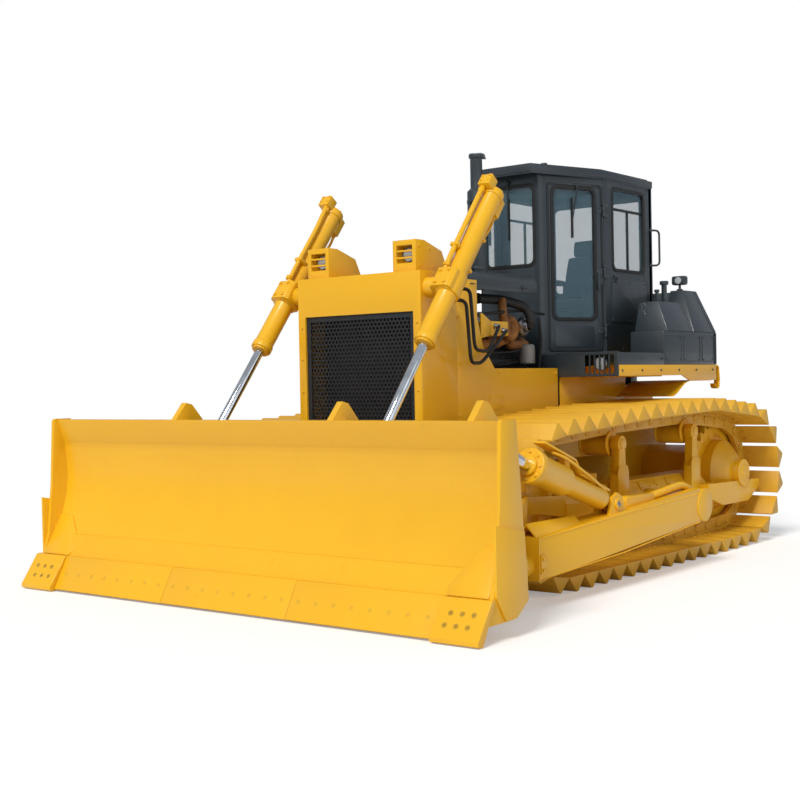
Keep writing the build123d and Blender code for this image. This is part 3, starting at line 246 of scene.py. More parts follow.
# The look of each material slot of the record, and the slots of the other looks
LOOKS = {"yellow_paint": YELLOW, "dark_paint": DARK, "cab_glass": GLASS, "lamp_glass": LENS,
    "seat_cover": CLOTH, "dark_plastic": RUBBER, "grille_black": SCREEN, "chrome_rod": CHROME,
    "engine_black": BLACK, "cast_housing": RUSTED, "bare_steel": STEEL}
SLOT_OF = {look.name: slot for slot, look in LOOKS.items()}
SLOT_OF.update({TRACK_YELLOW.name: "yellow_paint", PLASTIC.name: "dark_plastic", BOLT_PAINT.name: "bare_steel",
    DARK_BOLT.name: "bare_steel", ENGINE_GREY.name: "engine_black", FILTER_YELLOW.name: "engine_black"})
OWN_LOOKS = {"track_left": TRACK_YELLOW, "track_right": TRACK_YELLOW}
EDGE_WIDTHS = {"moldboard": 0.004, "cutting_edge": 0.004, "end_bits": 0.008, "cab_roof": 0.012}


def dress_frame():
    """Gives every CAD node its finish, softened edges and smooth round faces."""
    slots = {part["node"]: part["material_slot"] for part in frame["record"]["subparts"]}
    for name, obj in frame["nodes"].items():
        look = OWN_LOOKS.get(name, LOOKS[slots[name]])
        obj.data.materials.clear()
        obj.data.materials.append(look)
        weld = obj.modifiers.new("weld", "WELD")
        weld.merge_threshold = 0.00005
        if look not in (GLASS, LENS):
            bevel = obj.modifiers.new("bevel", "BEVEL")
            bevel.width = EDGE_WIDTHS.get(name, 0.003)
            bevel.segments = 2
            bevel.limit_method = "ANGLE"
            bevel.angle_limit = radians(32)
            bevel.harden_normals = False
        soften(obj)


def soften(obj):
    """Smooth shading with the sharp edges kept."""
    for polygon in obj.data.polygons:
        polygon.use_smooth = True
    split = obj.modifiers.new("edges", "EDGE_SPLIT")
    split.split_angle = radians(28)


# Mesh helpers. Lengths in these are the millimetres of the CAD source, with Y from the row of edge bolts.
def at(x, y, z):
    return Vector((x / 1000, y / 1000 + SHIFT_Y, z / 1000))


def plane(origin, across, rise=(0, 0, 1)):
    """A frame on a surface: u along across, v along rise, w outwards."""
    u = Vector(across).normalized()
    v = Vector(rise).normalized()
    w = u.cross(v).normalized()
    v = w.cross(u)
    return Matrix.Translation(at(*origin)) @ Matrix((u, v, w)).transposed().to_4x4()


def ring_of(shape, frame, outline, w):
    """Vertices of an outline of (u, v) at a height w, all in mm."""
    return [shape.verts.new(frame @ Vector((u / 1000, v / 1000, w / 1000))) for u, v in outline]


def join(shape, lower, upper):
    """The faces between two rings of vertices."""
    for i in range(len(lower)):
        j = (i + 1) % len(lower)
        shape.faces.new((lower[i], lower[j], upper[j], upper[i]))


def close(shape, lower, upper):
    """A closed body between two rings of vertices."""
    shape.faces.new(lower[::-1])
    shape.faces.new(upper)
    join(shape, lower, upper)


def turned(shape, frame, profile, steps=24):
    """A closed body turned about the frame's w axis, from (height, radius) pairs in mm."""
    rings = []
    for height, radius in profile:
        if radius == 0:
            rings.append([shape.verts.new(frame @ Vector((0, 0, height / 1000)))])
            continue
        ring = []
        for i in range(steps):
            a = 2 * pi * i / steps
            spot = Vector((radius * cos(a), radius * sin(a), height)) / 1000
            ring.append(shape.verts.new(frame @ spot))
        rings.append(ring)
    for lower, upper in zip(rings, rings[1:]):
        if len(upper) > 1:
            join(shape, lower, upper)
            continue
        for i in range(steps):
            shape.faces.new((lower[i], lower[(i + 1) % steps], upper[0]))
    for ring in (rings[0][::-1], rings[-1]):
        if len(ring) > 2:
            shape.faces.new(ring)


def slab(shape, frame, outline, low, high):
    """An outline of (u, v) in mm, made solid from low to high along w."""
    close(shape, ring_of(shape, frame, outline, low), ring_of(shape, frame, outline, high))


def rounded(u0, u1, v0, v1, radius, steps=6):
    """The outline of a rectangle with round corners."""
    points = []
    for cu, cv, start in ((u1 - radius, v1 - radius, 0), (u0 + radius, v1 - radius, 90),
            (u0 + radius, v0 + radius, 180), (u1 - radius, v0 + radius, 270)):
        for i in range(steps + 1):
            a = radians(start + 90 * i / steps)
            points.append((cu + radius * cos(a), cv + radius * sin(a)))
    return points


def gasket(shape, frame, outer, inner, low, high):
    """A band between two outlines with the same count of points."""
    corners = ((outer, low), (outer, high), (inner, high), (inner, low))
    rings = [ring_of(shape, frame, outline, w) for outline, w in corners]
    for lower, upper in zip(rings, rings[1:] + rings[:1]):
        join(shape, lower, upper)


def bolt(shape, frame, u, v, size=12, w=0):
    """A hex head on its washer."""
    place = frame @ Matrix.Translation((u / 1000, v / 1000, w / 1000))
    turned(shape, place, [(0, size * 1.25), (size * 0.22, size * 1.25), (size * 0.24, size * 0.9)], 14)
    turned(shape, place, [(size * 0.2, size), (size * 0.8, size), (size * 0.92, size * 0.8)], 6)


def bolt_ring(shape, frame, radius, count, size=12, w=0, turn=0.0):
    for i in range(count):
        a = 2 * pi * (i + turn) / count
        bolt(shape, frame, radius * cos(a), radius * sin(a), size, w)


def bent_line(points, bend, steps=6):
    """Straight runs in mm with their corners rounded, in metres."""
    spots = [at(*p) for p in points]
    line = [spots[0]]
    for before, corner, after in zip(spots, spots[1:], spots[2:]):
        back, on = before - corner, after - corner
        reach = min(bend / 1000, back.length * 0.48, on.length * 0.48)
        first, last = corner + back.normalized() * reach, corner + on.normalized() * reach
        for i in range(steps + 1):
            t = i / steps
            line.append(first.lerp(corner, t).lerp(corner.lerp(last, t), t))
    return line + [spots[-1]]


def tube(shape, points, radius, bend=60, steps=12):
    """A round pipe along bent runs."""
    line = bent_line(points, bend)
    guide = Vector((0.13, 0.21, 0.97)).normalized()
    circle = [2 * pi * k / steps for k in range(steps)]
    rings = []
    for i, spot in enumerate(line):
        ahead = (line[min(i + 1, len(line) - 1)] - line[max(i - 1, 0)]).normalized()
        side = ahead.cross(guide)
        if side.length < 0.05:
            side = ahead.cross(Vector((1, 0, 0)))
        side.normalize()
        guide = side.cross(ahead)
        rings.append([shape.verts.new(spot + (side * cos(a) + guide * sin(a)) * radius / 1000) for a in circle])
    for lower, upper in zip(rings, rings[1:]):
        join(shape, lower, upper)
    shape.faces.new(rings[0][::-1])
    shape.faces.new(rings[-1])

BUILDERS = []


def finish_piece(name, shape, look):
    """Turns a bmesh into a smooth-shaded object."""
    bmesh.ops.recalc_face_normals(shape, faces=shape.faces)
    mesh = bpy.data.meshes.new(name)
    shape.to_mesh(mesh)
    shape.free()
    mesh.materials.append(look)
    for polygon in mesh.polygons:
        polygon.use_smooth = True
    return link(bpy.data.objects.new(name, mesh))


def build(name, make, look, width=1.5, body="chassis", stands_for=None, slot=None, side=""):
    """One piece with bevelled edges; the right one of a pair is the left one mirrored."""
    shape = bmesh.new()
    make(shape)
    if side == "_right":
        bmesh.ops.scale(shape, vec=(-1, 1, 1), verts=shape.verts)
        bmesh.ops.reverse_faces(shape, faces=shape.faces)
    obj = finish_piece(name + side, shape, look)
    if width:
        bevel = obj.modifiers.new("bevel", "BEVEL")
        bevel.width = width / 1000
        bevel.segments = 2
        bevel.limit_method = "ANGLE"
        bevel.angle_limit = radians(35)
    edges = obj.modifiers.new("edges", "EDGE_SPLIT")
    edges.split_angle = radians(30)
    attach(obj, body.replace("_left", side or "_left"))
    if stands_for:
        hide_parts(stands_for.replace("_left", side or "_left"))


def build_pair(name, make, *how, **more):
    for side in ("_left", "_right"):
        build(name, make, *how, side=side, **more)


def piece(*how, **more):
    """Lists a maker of one piece, which takes the maker's name."""
    def listed(make):
        BUILDERS.append(lambda: build(make.__name__, make, *how, **more))
        return make
    return listed


def pair(*how, **more):
    """Lists a maker of a left piece and its mirror image."""
    def listed(make):
        BUILDERS.append(lambda: build_pair(make.__name__, make, *how, **more))
        return make
    return listed


# Surfaces that face along an axis, with their origin in mm
def outward(x, y, z):
    return plane((x, y, z), (0, 1, 0))


def upward(x, y, z):
    return plane((x, y, z), (1, 0, 0), (0, 1, 0))


def forward(x, y, z):
    return plane((x, y, z), (1, 0, 0))


def backward(x, y, z):
    return plane((x, y, z), (-1, 0, 0))


def rim(shape, frame, rect, outer, inner, outer_radius, inner_radius, low, high):
    """A band round a rectangle, its outlines that far outside (or inside, below zero) of it."""
    u0, u1, v0, v1 = rect
    gasket(shape, frame, rounded(u0 - outer, u1 + outer, v0 - outer, v1 + outer, outer_radius),
        rounded(u0 - inner, u1 + inner, v0 - inner, v1 + inner, inner_radius), low, high)


def bolts(shape, frame, us, vs, size=12, w=0):
    """Bolts at every crossing of the given rows and columns."""
    for u in us:
        for v in vs:
            bolt(shape, frame, u, v, size, w)


# Sizes that the CAD source shares, in mm
SIDE_X = 1130
PITCH = 216
DRIVE_Y, DRIVE_Z = 5280, 660
TRUNNION = (1550, 2270)
LIFT_EYE = (550, 1000)
TILT_REAR, TILT_FRONT = (2260, 632), (520, 1190)
PIPE_Y = 3090
EAVES_Z = 3400
ENGINE_ROWS = range(2330, 3156, 165)
LIFT_X = 822
ARM_OUTER_X = 1830
TILT_X = 1722.5
GUARD_FRONT_Y = 1445
GUARD_HALF = 617.5
FENDER_HALF = 1200
CAB_FLOOR_Z = 1780
CAB_NOSE_HALF = 310
CAB_HALF = 588
CAB_FRONT_Y = 3594
CAB_CORNER_Y = 4273
CAB_REAR_Y = 5190
FACET = hypot(CAB_HALF - CAB_NOSE_HALF, CAB_CORNER_Y - CAB_FRONT_Y)
FRONT_WALL = forward(0, CAB_FRONT_Y, CAB_FLOOR_Z)
DOOR_WALL = plane((CAB_NOSE_HALF, CAB_FRONT_Y, CAB_FLOOR_Z),
    (CAB_HALF - CAB_NOSE_HALF, CAB_CORNER_Y - CAB_FRONT_Y, 0))
SIDE_WALL = outward(CAB_HALF, CAB_CORNER_Y, CAB_FLOOR_Z)
REAR_WALL = backward(0, CAB_REAR_Y, CAB_FLOOR_Z)
DOOR_HOLE = (92, FACET - 22, 25, 1545)
DOOR_PANE = (150, FACET - 112, 327, 1503)
FRONT_PANE = (-262, 262, 808, 1520)
FLANK_PANE = (155, 760, 788, 1540)
REAR_PANE = (-505, 505, 640, 1510)
EDGE_LEAN = plane((0, -20, 142), (1, 0, 0), (0, 128, 240))
END_LEAN = plane((0, -44, 151), (1, 0, 0), (0, 152, 222))
IDLER_Y = 1857.75
POSTS = ((3150, 1027), (4480, 1075))
LIFT_WAY = Vector((0, -1.0, -1.27)).normalized()
SEAT_Y, SEAT_Z = 4440, 2330
SIDE = outward(0, 0, 0)
FACE = forward(0, 0, 0)
LEVEL = upward(0, 0, 0)
WALL_HEIGHT = 1620
WALL = 50
HINGE_SPOT = (595.667, 4257.598)
HINGE_RISES = (220, 760, 1320)
HOOD_HALF = 601.5
HOOD_TOP_Z = 2440
TANK_X = 868


# Helpers that several pieces share
def hexagon(x, z, radius):
    corners = [radians(30 + 60 * k) for k in range(6)]
    return [(x + radius * cos(a), z + radius * sin(a)) for a in corners]


def lamp_parts(front, middle_x, middle_z, radius, depth):
    """Makers for the bowl, glass and rim of a round lamp facing forward."""
    face = forward(middle_x, front, middle_z)

    def bowl(shape):
        inside = [(-depth, radius * 0.12), (-depth * 0.93, radius * 0.4), (-depth * 0.6, radius * 0.75),
            (-2, radius * 0.93)]
        turned(shape, face, [(-depth - 2, radius * 0.3)] + [(w - 3,
            r + 3) for w, r in inside[1:]] + inside[::-1], 28)

    def glass(shape):
        turned(shape, face, [(-3, radius * 0.95), (0, radius * 0.95), (4, radius * 0.7), (6, radius * 0.35),
            (7, 0)], 28)

    def rim(shape):
        turned(shape, face, [(-5, radius), (4, radius), (6, radius * 0.96), (6, radius * 0.92),
            (-5, radius * 0.92)], 28)

    def bulb(shape):
        turned(shape, face, [(-depth, 5), (-depth * 0.6, 5), (-depth * 0.5, 7), (-depth * 0.25, 6),
            (-depth * 0.2, 0)], 12)

    return bowl, glass, rim, bulb


def plow_head(shape, frame, u, v, radius=15):
    """A countersunk plow bolt, nearly flush with its face."""
    place = frame @ Matrix.Translation((u / 1000, v / 1000, 0))
    turned(shape, place, [(-3, radius), (0.8, radius), (1.2, radius * 0.85), (-1.6, radius * 0.62),
        (-1.6, 0)], 16)
    turned(shape, place, [(-2, radius * 0.5), (0.2, radius * 0.5), (0.6, radius * 0.4)], 4)


def weld(shape, points, radius=6):
    """A weld bead: a thin ridge with a ripple along it."""
    line = bent_line(points, 30)
    for start, end in zip(line, line[1:]):
        run = end - start
        count = max(1, int(run.length / 0.012))
        for i in range(count):
            spot = start + run * (i + 0.5) / count
            bmesh.ops.create_icosphere(shape, subdivisions=1, radius=radius / 1000,
                matrix=Matrix.Translation(spot))


def make_chain():
    pitch, count, rise, drop, height = PITCH, 45, 62, 55, 115
    pin_radius = pitch / 2 / sin(pi * 2 / 27)
    ground = height + rise
    circles = [[0, ground + 453, 453]]
    for y, apex in ((POSTS[0][0], 1340), (POSTS[1][0], 1378)):
        circles.append([y, apex - height - rise - 88 - drop, 88 + drop])
    circles.append([DRIVE_Y, DRIVE_Z, pin_radius])
    for y in (4700, 2400):
        circles.append([y, ground + drop + 108, 108 + drop])
    circles[0][0] = IDLER_Y
    runs, angles = [], []
    for i, (y, z, r) in enumerate(circles):
        yb, zb, rb = circles[(i + 1) % len(circles)]
        angles.append(atan2(zb - z, yb - y) + acos((r - rb) / hypot(yb - y, zb - z)))
    for i, (y, z, r) in enumerate(circles):
        yb, zb, rb = circles[(i + 1) % len(circles)]
        turn = (angles[i - 1] - angles[i]) % (2 * pi)
        a = angles[i]
        runs.append(("arc", (y, z, r, angles[i - 1]), r * turn))
        p, q = (y + r * cos(a), z + r * sin(a)), (yb + rb * cos(a), zb + rb * sin(a))
        runs.append(("line", (p, q), dist(p, q)))
    total = sum(run[2] for run in runs)

    def point(travel):
        travel %= total
        for kind, data, length in runs:
            if travel <= length:
                break
            travel -= length
        if kind == "arc":
            y, z, r, start = data
            return (y + r * cos(start - travel / r), z + r * sin(start - travel / r))
        (py, pz), (qy, qz) = data
        t = travel / length
        return (py + (qy - py) * t, pz + (qz - pz) * t)

    travel = 0
    for kind, data, length in runs:
        if kind == "arc" and data[0] == DRIVE_Y:
            travel += data[2] * (data[3] % (2 * pi))
            break
        travel += length
    pins = [point(travel)]
    for _ in range(count - 1):
        low, high = travel + pitch * 0.98, travel + pitch * 1.06
        for _ in range(30):
            middle = (low + high) / 2
            if dist(point(middle), pins[-1]) < pitch:
                low = middle
            else:
                high = middle
        travel = low
        pins.append(point(travel))
    return pins


def tilt_frame(distance):
    """A frame across the tilt cylinder's line, w towards the blade."""
    start, end = Vector((TILT_X, *TILT_REAR)), Vector((TILT_X, *TILT_FRONT))
    way = (end - start).normalized()
    spot = start + way * distance
    return plane(tuple(spot), (1, 0, 0), tuple(way.cross(Vector((1, 0, 0)))))


def lift_frame(distance):
    """A frame across the lift cylinder's line: u sideways, v up to the front, w down the line."""
    spot = Vector((LIFT_X, *TRUNNION)) + LIFT_WAY * distance
    return plane(tuple(spot), (1, 0, 0), tuple(LIFT_WAY.cross(Vector((1, 0, 0)))))


def wiper(shape, wall, u, v, length, lean, blade):
    """A wiper arm from its spindle, with its rubber blade on the glass."""
    spindle = wall @ Matrix.Translation((u / 1000, v / 1000, 0))
    turned(shape, spindle, [(0, 17), (18, 17), (24, 12), (24, 0)], 18)
    a = radians(lean)
    tip = (u + length * cos(a), v + length * sin(a))
    normal = (-sin(a), cos(a))
    arm = [(u - 7 * normal[0], v - 7 * normal[1]), (tip[0] - 4 * normal[0], tip[1] - 4 * normal[1]),
        (tip[0] + 4 * normal[0], tip[1] + 4 * normal[1]), (u + 7 * normal[0], v + 7 * normal[1])]
    slab(shape, wall, arm, 16, 22)
    for half, low, high in ((5, 2, 15), (2, -17, 3)):
        u0, u1, v0, v1 = tip[0] - half, tip[0] + half, tip[1] - blade / 2, tip[1] + blade / 2
        brick(shape, wall, u0, u1, v0, v1, low, high)


def padded_block(name, middle, size, crown, tilt=0.0, panel=()):
    """A crowned cushion with pulled-in corners and, where given, panel grooves sunk across its top."""
    shape = bmesh.new()
    steps = 14
    sx, sy, sz = (s / 2000 for s in size)

    def spot(u, v, face):
        pull = 1.0 - 0.05 * (u * u * v * v)
        rise = (1 - abs(u) ** 3.2) * (1 - abs(v) ** 3.2)
        x, y = u * sx * pull, v * sy * pull
        z = face * (sz * (0.62 + 0.38 * rise ** 0.45) + (crown if face > 0 else crown * 0.35) / 1000 * rise)
        if face > 0:
            for line in panel:
                z -= 0.012 * exp(-((u - line) / 0.05) ** 2) * rise
        return Vector((x, y, z))

    grids = {}
    for face in (1, -1):
        for i in range(steps + 1):
            for j in range(steps + 1):
                u, v = -1 + 2 * i / steps, -1 + 2 * j / steps
                u, v = sin(u * pi / 2), sin(v * pi / 2)
                grids[face, i, j] = shape.verts.new(spot(u, v, face))
    for face in (1, -1):
        for i in range(steps):
            for j in range(steps):
                quad = (grids[face, i, j], grids[face, i + 1, j], grids[face, i + 1, j + 1],
                    grids[face, i, j + 1])
                shape.faces.new(quad if face > 0 else quad[::-1])
    rim = [(i, 0) for i in range(steps)] + [(steps, j) for j in range(steps)]
    rim += [(i, steps) for i in range(steps, 0, -1)] + [(0, j) for j in range(steps, 0, -1)]
    for (i, j), (k, m) in zip(rim, rim[1:] + rim[:1]):
        shape.faces.new((grids[-1, i, j], grids[-1, k, m], grids[1, k, m], grids[1, i, j]))
    place = Matrix.Translation(at(*middle)) @ Matrix.Rotation(radians(tilt), 4, "X")
    bmesh.ops.transform(shape, matrix=place, verts=shape.verts)
    cushion = finish_piece(name, shape, CLOTH)
    surface = cushion.modifiers.new("smooth", "SUBSURF")
    surface.levels = surface.render_levels = 2
    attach(cushion, "chassis")
    return cushion


def both_sides(half):
    """A half outline of (x, y) completed by its mirror image."""
    return half + [(-x, y) for x, y in reversed(half)]


def side_slab(shape, outline, x0, x1):
    """A plate with its outline in Y and Z."""
    slab(shape, SIDE, outline, x0, x1)


def front_slab(shape, outline, y0, y1):
    """A plate with its outline in X and Z."""
    slab(shape, FACE, outline, -y1, -y0)


def level_slab(shape, outline, z0, z1):
    """A plate with its outline in X and Y."""
    slab(shape, LEVEL, outline, z0, z1)


def brick(shape, frame, u0, u1, v0, v1, low, high):
    """A block between two corners of a frame."""
    slab(shape, frame, [(u0, v0), (u1, v0), (u1, v1), (u0, v1)], low, high)


def bar(shape, start, end, radius, steps=24):
    """A round bar between two points."""
    way = Vector(end) - Vector(start)
    side = way.orthogonal()
    place = plane(start, tuple(side), tuple(way.cross(side)))
    turned(shape, place, [(0, radius), (way.length, radius)], steps)


def hull_of(shape, lower, upper):
    """A closed body between two four-cornered faces."""
    close(shape, *([shape.verts.new(at(*p)) for p in face] for face in (lower, upper)))


def oblong(x0, x1, y0, y1, z):
    return [(x0, y0, z), (x1, y0, z), (x1, y1, z), (x0, y1, z)]


def bent_sheet(shape, line, x0, x1, thick=9):
    """A bent sheet along points of (y, z), from x0 to x1."""
    under = [(y, z - thick) for y, z in line]
    for (a, b), (c, d) in zip(zip(line, under), zip(line[1:], under[1:])):
        side_slab(shape, [a, c, d, b], x0, x1)


def arc_points(y, z, radius, start, end, steps=8):
    turn = [radians(start + (end - start) * i / steps) for i in range(steps + 1)]
    return [(y + radius * cos(a), z + radius * sin(a)) for a in turn]


def walled(shape, wall, u1, rect, corner):
    """One cab wall from u 0 to u1 with a rounded opening."""
    gasket(shape, wall, rounded(u1[0], u1[1], 0, WALL_HEIGHT, 1), rounded(*rect, corner), -WALL, 0)


def ring_body(shape, place, radius, thickness, steps=28, rounds=14):
    """A closed ring, thick as given, round the frame's w axis."""
    rings = []
    for i in range(steps):
        a = 2 * pi * i / steps
        ring = []
        for k in range(rounds):
            b = 2 * pi * k / rounds
            reach = radius + thickness * (0.85 + 0.15 * cos(a)) * cos(b)
            ring.append(shape.verts.new(place @ (Vector((reach * cos(a), reach * sin(a),
                thickness * sin(b))) / 1000)))
        rings.append(ring)
    for i in range(steps):
        for k in range(rounds):
            j, m = (i + 1) % steps, (k + 1) % rounds
            shape.faces.new((rings[i][k], rings[j][k], rings[j][m], rings[i][m]))


def lift_point(distance, x, front):
    """A point beside the lift cylinder's line, in mm."""
    spot = Vector((LIFT_X, *TRUNNION)) + LIFT_WAY * distance + LIFT_WAY.cross(Vector((1, 0, 0))) * front
    return (spot.x + x, spot.y, spot.z)


def blade_skin(z):
    """Where the blade's face lies at a height, from the circle through its foot, belly and top."""
    (ya, za), (yb, zb), (yc, zc) = (70, 262), (300, 760), (217, 1315)
    cross = 2 * (ya * (zb - zc) + yb * (zc - za) + yc * (za - zb))
    a, b, c = ya * ya + za * za, yb * yb + zb * zb, yc * yc + zc * zc
    y0 = (a * (zb - zc) + b * (zc - za) + c * (za - zb)) / cross
    z0 = (a * (yc - yb) + b * (ya - yc) + c * (yb - ya)) / cross
    return y0 + sqrt(dist((ya, za), (y0, z0)) ** 2 - (z - z0) ** 2)


PINS = make_chain()


# Cab
@piece(DARK, 3, stands_for="cab_body")
def cab_shell(shape):
    walled(shape, FRONT_WALL, (-CAB_NOSE_HALF, CAB_NOSE_HALF), FRONT_PANE, 60)
    walled(shape, REAR_WALL, (-CAB_HALF, CAB_HALF), REAR_PANE, 60)
    outline = [(CAB_NOSE_HALF - 5, CAB_FRONT_Y + 5), (CAB_HALF - 5, CAB_CORNER_Y),
        (CAB_HALF - 5, CAB_REAR_Y - 5)]
    level_slab(shape, both_sides(outline), CAB_FLOOR_Z, CAB_FLOOR_Z + 30)


@pair(DARK, 3, stands_for="cab_body")
def cab_side(shape):
    walled(shape, DOOR_WALL, (0, FACET), DOOR_HOLE, 40)
    walled(shape, SIDE_WALL, (0, CAB_REAR_Y - CAB_CORNER_Y), FLANK_PANE, 60)
    x, y = HINGE_SPOT
    for rise in HINGE_RISES:
        z = CAB_FLOOR_Z + rise
        pin = upward(x, y, z)
        turned(shape, pin, [(-60, 6), (60, 6)], 14)
        for low in (-60, 32):
            turned(shape, pin, [(low, 13), (low + 28, 13)], 20)
            level_slab(shape, [(CAB_HALF - 2, y), (CAB_HALF + 8, y), (CAB_HALF + 8, y + 75),
                (CAB_HALF - 2, y + 75)], z + low, z + low + 28)
    handle_x, handle_y = CAB_HALF - 14, CAB_REAR_Y - 14
    tube(shape, [(handle_x, handle_y, 2990), (handle_x + 68, handle_y + 74, 2990),
        (handle_x + 68, handle_y + 74, 2650), (handle_x, handle_y, 2650)], 10, 45)


@piece(DARK, 8, stands_for="cab_roof")
def roof(shape):
    """Roof whose nose reaches forward as a visor over the front wall."""
    half = [(CAB_NOSE_HALF + 5, CAB_FRONT_Y - 118), (CAB_HALF + 13, CAB_CORNER_Y - 3),
        (CAB_HALF + 13, CAB_REAR_Y + 13)]
    level_slab(shape, both_sides(half), EAVES_Z, EAVES_Z + 60)
    crown = [(CAB_NOSE_HALF - 22, CAB_FRONT_Y - 84), (CAB_HALF - 22, CAB_CORNER_Y + 6),
        (CAB_HALF - 22, CAB_REAR_Y - 22)]
    level_slab(shape, both_sides(crown), 3455, 3479)
    turned(shape, upward(300, 3720, 3478), [(0, 30), (16, 30), (22, 24), (22, 0)], 20)


@piece(GLASS, 0, stands_for="cab_glass")
def cab_panes(shape):
    for wall, rect in ((FRONT_WALL, FRONT_PANE), (REAR_WALL, REAR_PANE)):
        slab(shape, wall, rounded(*rect, 60), -22, -16)


@pair(GLASS, 0, stands_for="cab_glass")
def side_pane(shape):
    slab(shape, SIDE_WALL, rounded(*FLANK_PANE, 60), -22, -16)


@pair(DARK, 3, "door_leaf_left", stands_for="door_left")
def door_frame(shape):
    u0, u1 = DOOR_HOLE[0] + 6, DOOR_HOLE[1] - 6
    gasket(shape, DOOR_WALL, rounded(u0, u1, DOOR_HOLE[2] + 6, DOOR_HOLE[3] - 6, 34), rounded(*DOOR_PANE, 60),
        -40, 0)
    x, y = HINGE_SPOT
    for rise in HINGE_RISES:
        turned(shape, upward(x, y, CAB_FLOOR_Z + rise), [(-30, 13), (30, 13)], 20)
        slab(shape, DOOR_WALL, rounded(FACET - 88, FACET - 8, rise - 30, rise + 30, 4), -1, 5)


@pair(GLASS, 0, "door_leaf_left", stands_for="door_glass_left")
def door_pane(shape):
    slab(shape, DOOR_WALL, rounded(*DOOR_PANE, 60), -20, -14)


# Lift cylinders
@pair(YELLOW, 5, "lift_barrel_left", stands_for="lift_cylinder_left")
def lift_barrel_body(shape):
    """Lift barrel in its cast yoke, with the end cap, port casting, valve block and pipe feet."""
    line = lift_frame(0)
    turned(shape, line, [(-950, 70), (-956, 80), (-944, 87), (-892, 87), (-888, 76), (-110, 76), (-106, 94),
        (90, 94), (96, 76), (486, 76), (490, 84), (541, 84), (545, 78), (545, 38)], 36)
    slab(shape, line, [(-106, -66), (-106, 88), (-78, 116), (52, 116), (80, 88), (80, -20), (40, -84),
        (-80, -84)], -88, 88)
    slab(shape, line, [(-42, -60), (42, -60), (34, -130), (-34, -130)], -956, -790)
    brick(shape, line, -52, 52, 62, 152, -1006, -908)
    brick(shape, line, -46, 46, 20, 70, -956, -908)
    brick(shape, line, -66, 6, 40, 132, -330, -300)
    for low in (-250, -560):
        brick(shape, line, -26, 26, -120, -50, low, low + 28)


@pair(YELLOW, 0.8, "lift_barrel_left", stands_for="lift_cylinder_left")
def lift_barrel_pipes(shape):
    tube(shape, [lift_point(*p) for p in ((-920, -20, 118), (-660, -30, 108), (-200, -30, 108),
        (-70, -30, 96))], 20, 70, 14)
    tube(shape, [lift_point(*p) for p in ((-810, 0, -110), (-700, 0, -128), (-540, 0, -98), (-150, 0, -98),
        (-60, 20, -70))], 12, 50)
    for d in (-880, -120):
        bar(shape, lift_point(d - 16, -24, 112), lift_point(d + 16, -24, 111), 27, 6)
    bar(shape, lift_point(-800, 0, -112), lift_point(-776, 0, -116), 18, 6)


@pair(CHROME, 0.8, "lift_stick_left", stands_for="lift_rod_left")
def lift_stick(shape):
    turned(shape, lift_frame(0), [(-48, 30), (-44, 36), (1560, 36)], 32)


@pair(YELLOW, 1, "lift_stick_left", stands_for="lift_rod_left")
def lift_eye(shape):
    turned(shape, outward(LIFT_X - 46, *LIFT_EYE), [(0, 66), (2, 68), (90, 68), (92, 66)], 36)
    turned(shape, lift_frame(1480), [(0, 44), (6, 50), (100, 54)], 28)
    for x, way in ((LIFT_X + 82, 1), (LIFT_X - 82, -1)):
        turned(shape, plane((x, *LIFT_EYE), (0, way, 0)), [(-2, 40), (7, 40), (9, 36), (9, 0)], 24)
        bolt(shape, plane((x, *LIFT_EYE), (0, way, 0)), 0, 0, 10, 9)


# Hood, turbocharger and engine bracket
@piece(DARK, 2, stands_for="hood")
def hood_cover(shape):
    """Rounded hood whose corners are cut off behind."""
    corner = arc_points(HOOD_HALF - 90, HOOD_TOP_Z - 90, 90, 0, 90)
    line = [(HOOD_HALF, 2290)] + corner
    outer = line + [(-x, z) for x, z in reversed(line)]
    inner = [(x * 0.976, z - 14 if z > 2300 else z) for x, z in outer]
    for (a, b), (c, d) in zip(zip(outer, inner), zip(outer[1:], inner[1:])):
        front_slab(shape, [a, c, d, b], 1900.3, 3095)
    front_top = [(-HOOD_HALF + 90, 3090), (HOOD_HALF - 90, 3090), (250, 3200), (-250, 3200)]
    level_slab(shape, front_top, HOOD_TOP_Z - 14, HOOD_TOP_Z)


@piece(YELLOW, 2, stands_for="engine_bracket")
def bracket_box(shape):
    """Box bracket beside the engine, with its three-cornered gusset plate."""
    brick(shape, LEVEL, 330, 600, 2393, 2642, 1926, 2040)
    side_slab(shape, [(2254, 1899), (2254, 2098), (2275, 2100), (2393, 2040), (2393, 1926)], 586, 600)
    front = forward(0, 2393, 0)
    bolts(shape, front, (400, 540), (1955, 2010), 10)


@piece(RUSTED, 1, stands_for="turbocharger")
def turbine(shape):
    """Hot scroll of the turbocharger with its upright outlet."""
    centre = outward(490, 2820, 1995)
    ring_body(shape, centre, 72, 44)
    turned(shape, centre, [(-40, 70), (16, 74), (24, 60), (24, 0)], 28)
    tube(shape, [(490, 2750, 2015), (490, 2725, 2145), (460, 2760, 2235)], 38, 60, 16)
    bar(shape, (480, 2820, 1995), (480, 2960, 2008), 44)


@piece(STEEL, 1, stands_for="turbocharger")
def compressor(shape):
    centre = outward(490, 3025, 2015)
    ring_body(shape, centre, 58, 31)
    turned(shape, centre, [(-36, 56), (20, 60), (36, 52), (66, 46), (70, 40), (30, 30), (30, 0)], 28)
    bolt_ring(shape, centre, 56, 8, 7, 20)


# Tanks and fenders
@piece(DARK, 10, stands_for="rear_tanks")
def rear_tank(shape):
    """Rear tank between its wings; side_tank makes the lower side boxes with their leaning tops."""
    brick(shape, LEVEL, -FENDER_HALF, FENDER_HALF, 5220, 5300, 1675, 1976)
    hull_of(shape, oblong(-FENDER_HALF, FENDER_HALF, 5220, 5300, 1976), oblong(-1000, 1000, 5220, 5300, 2380))


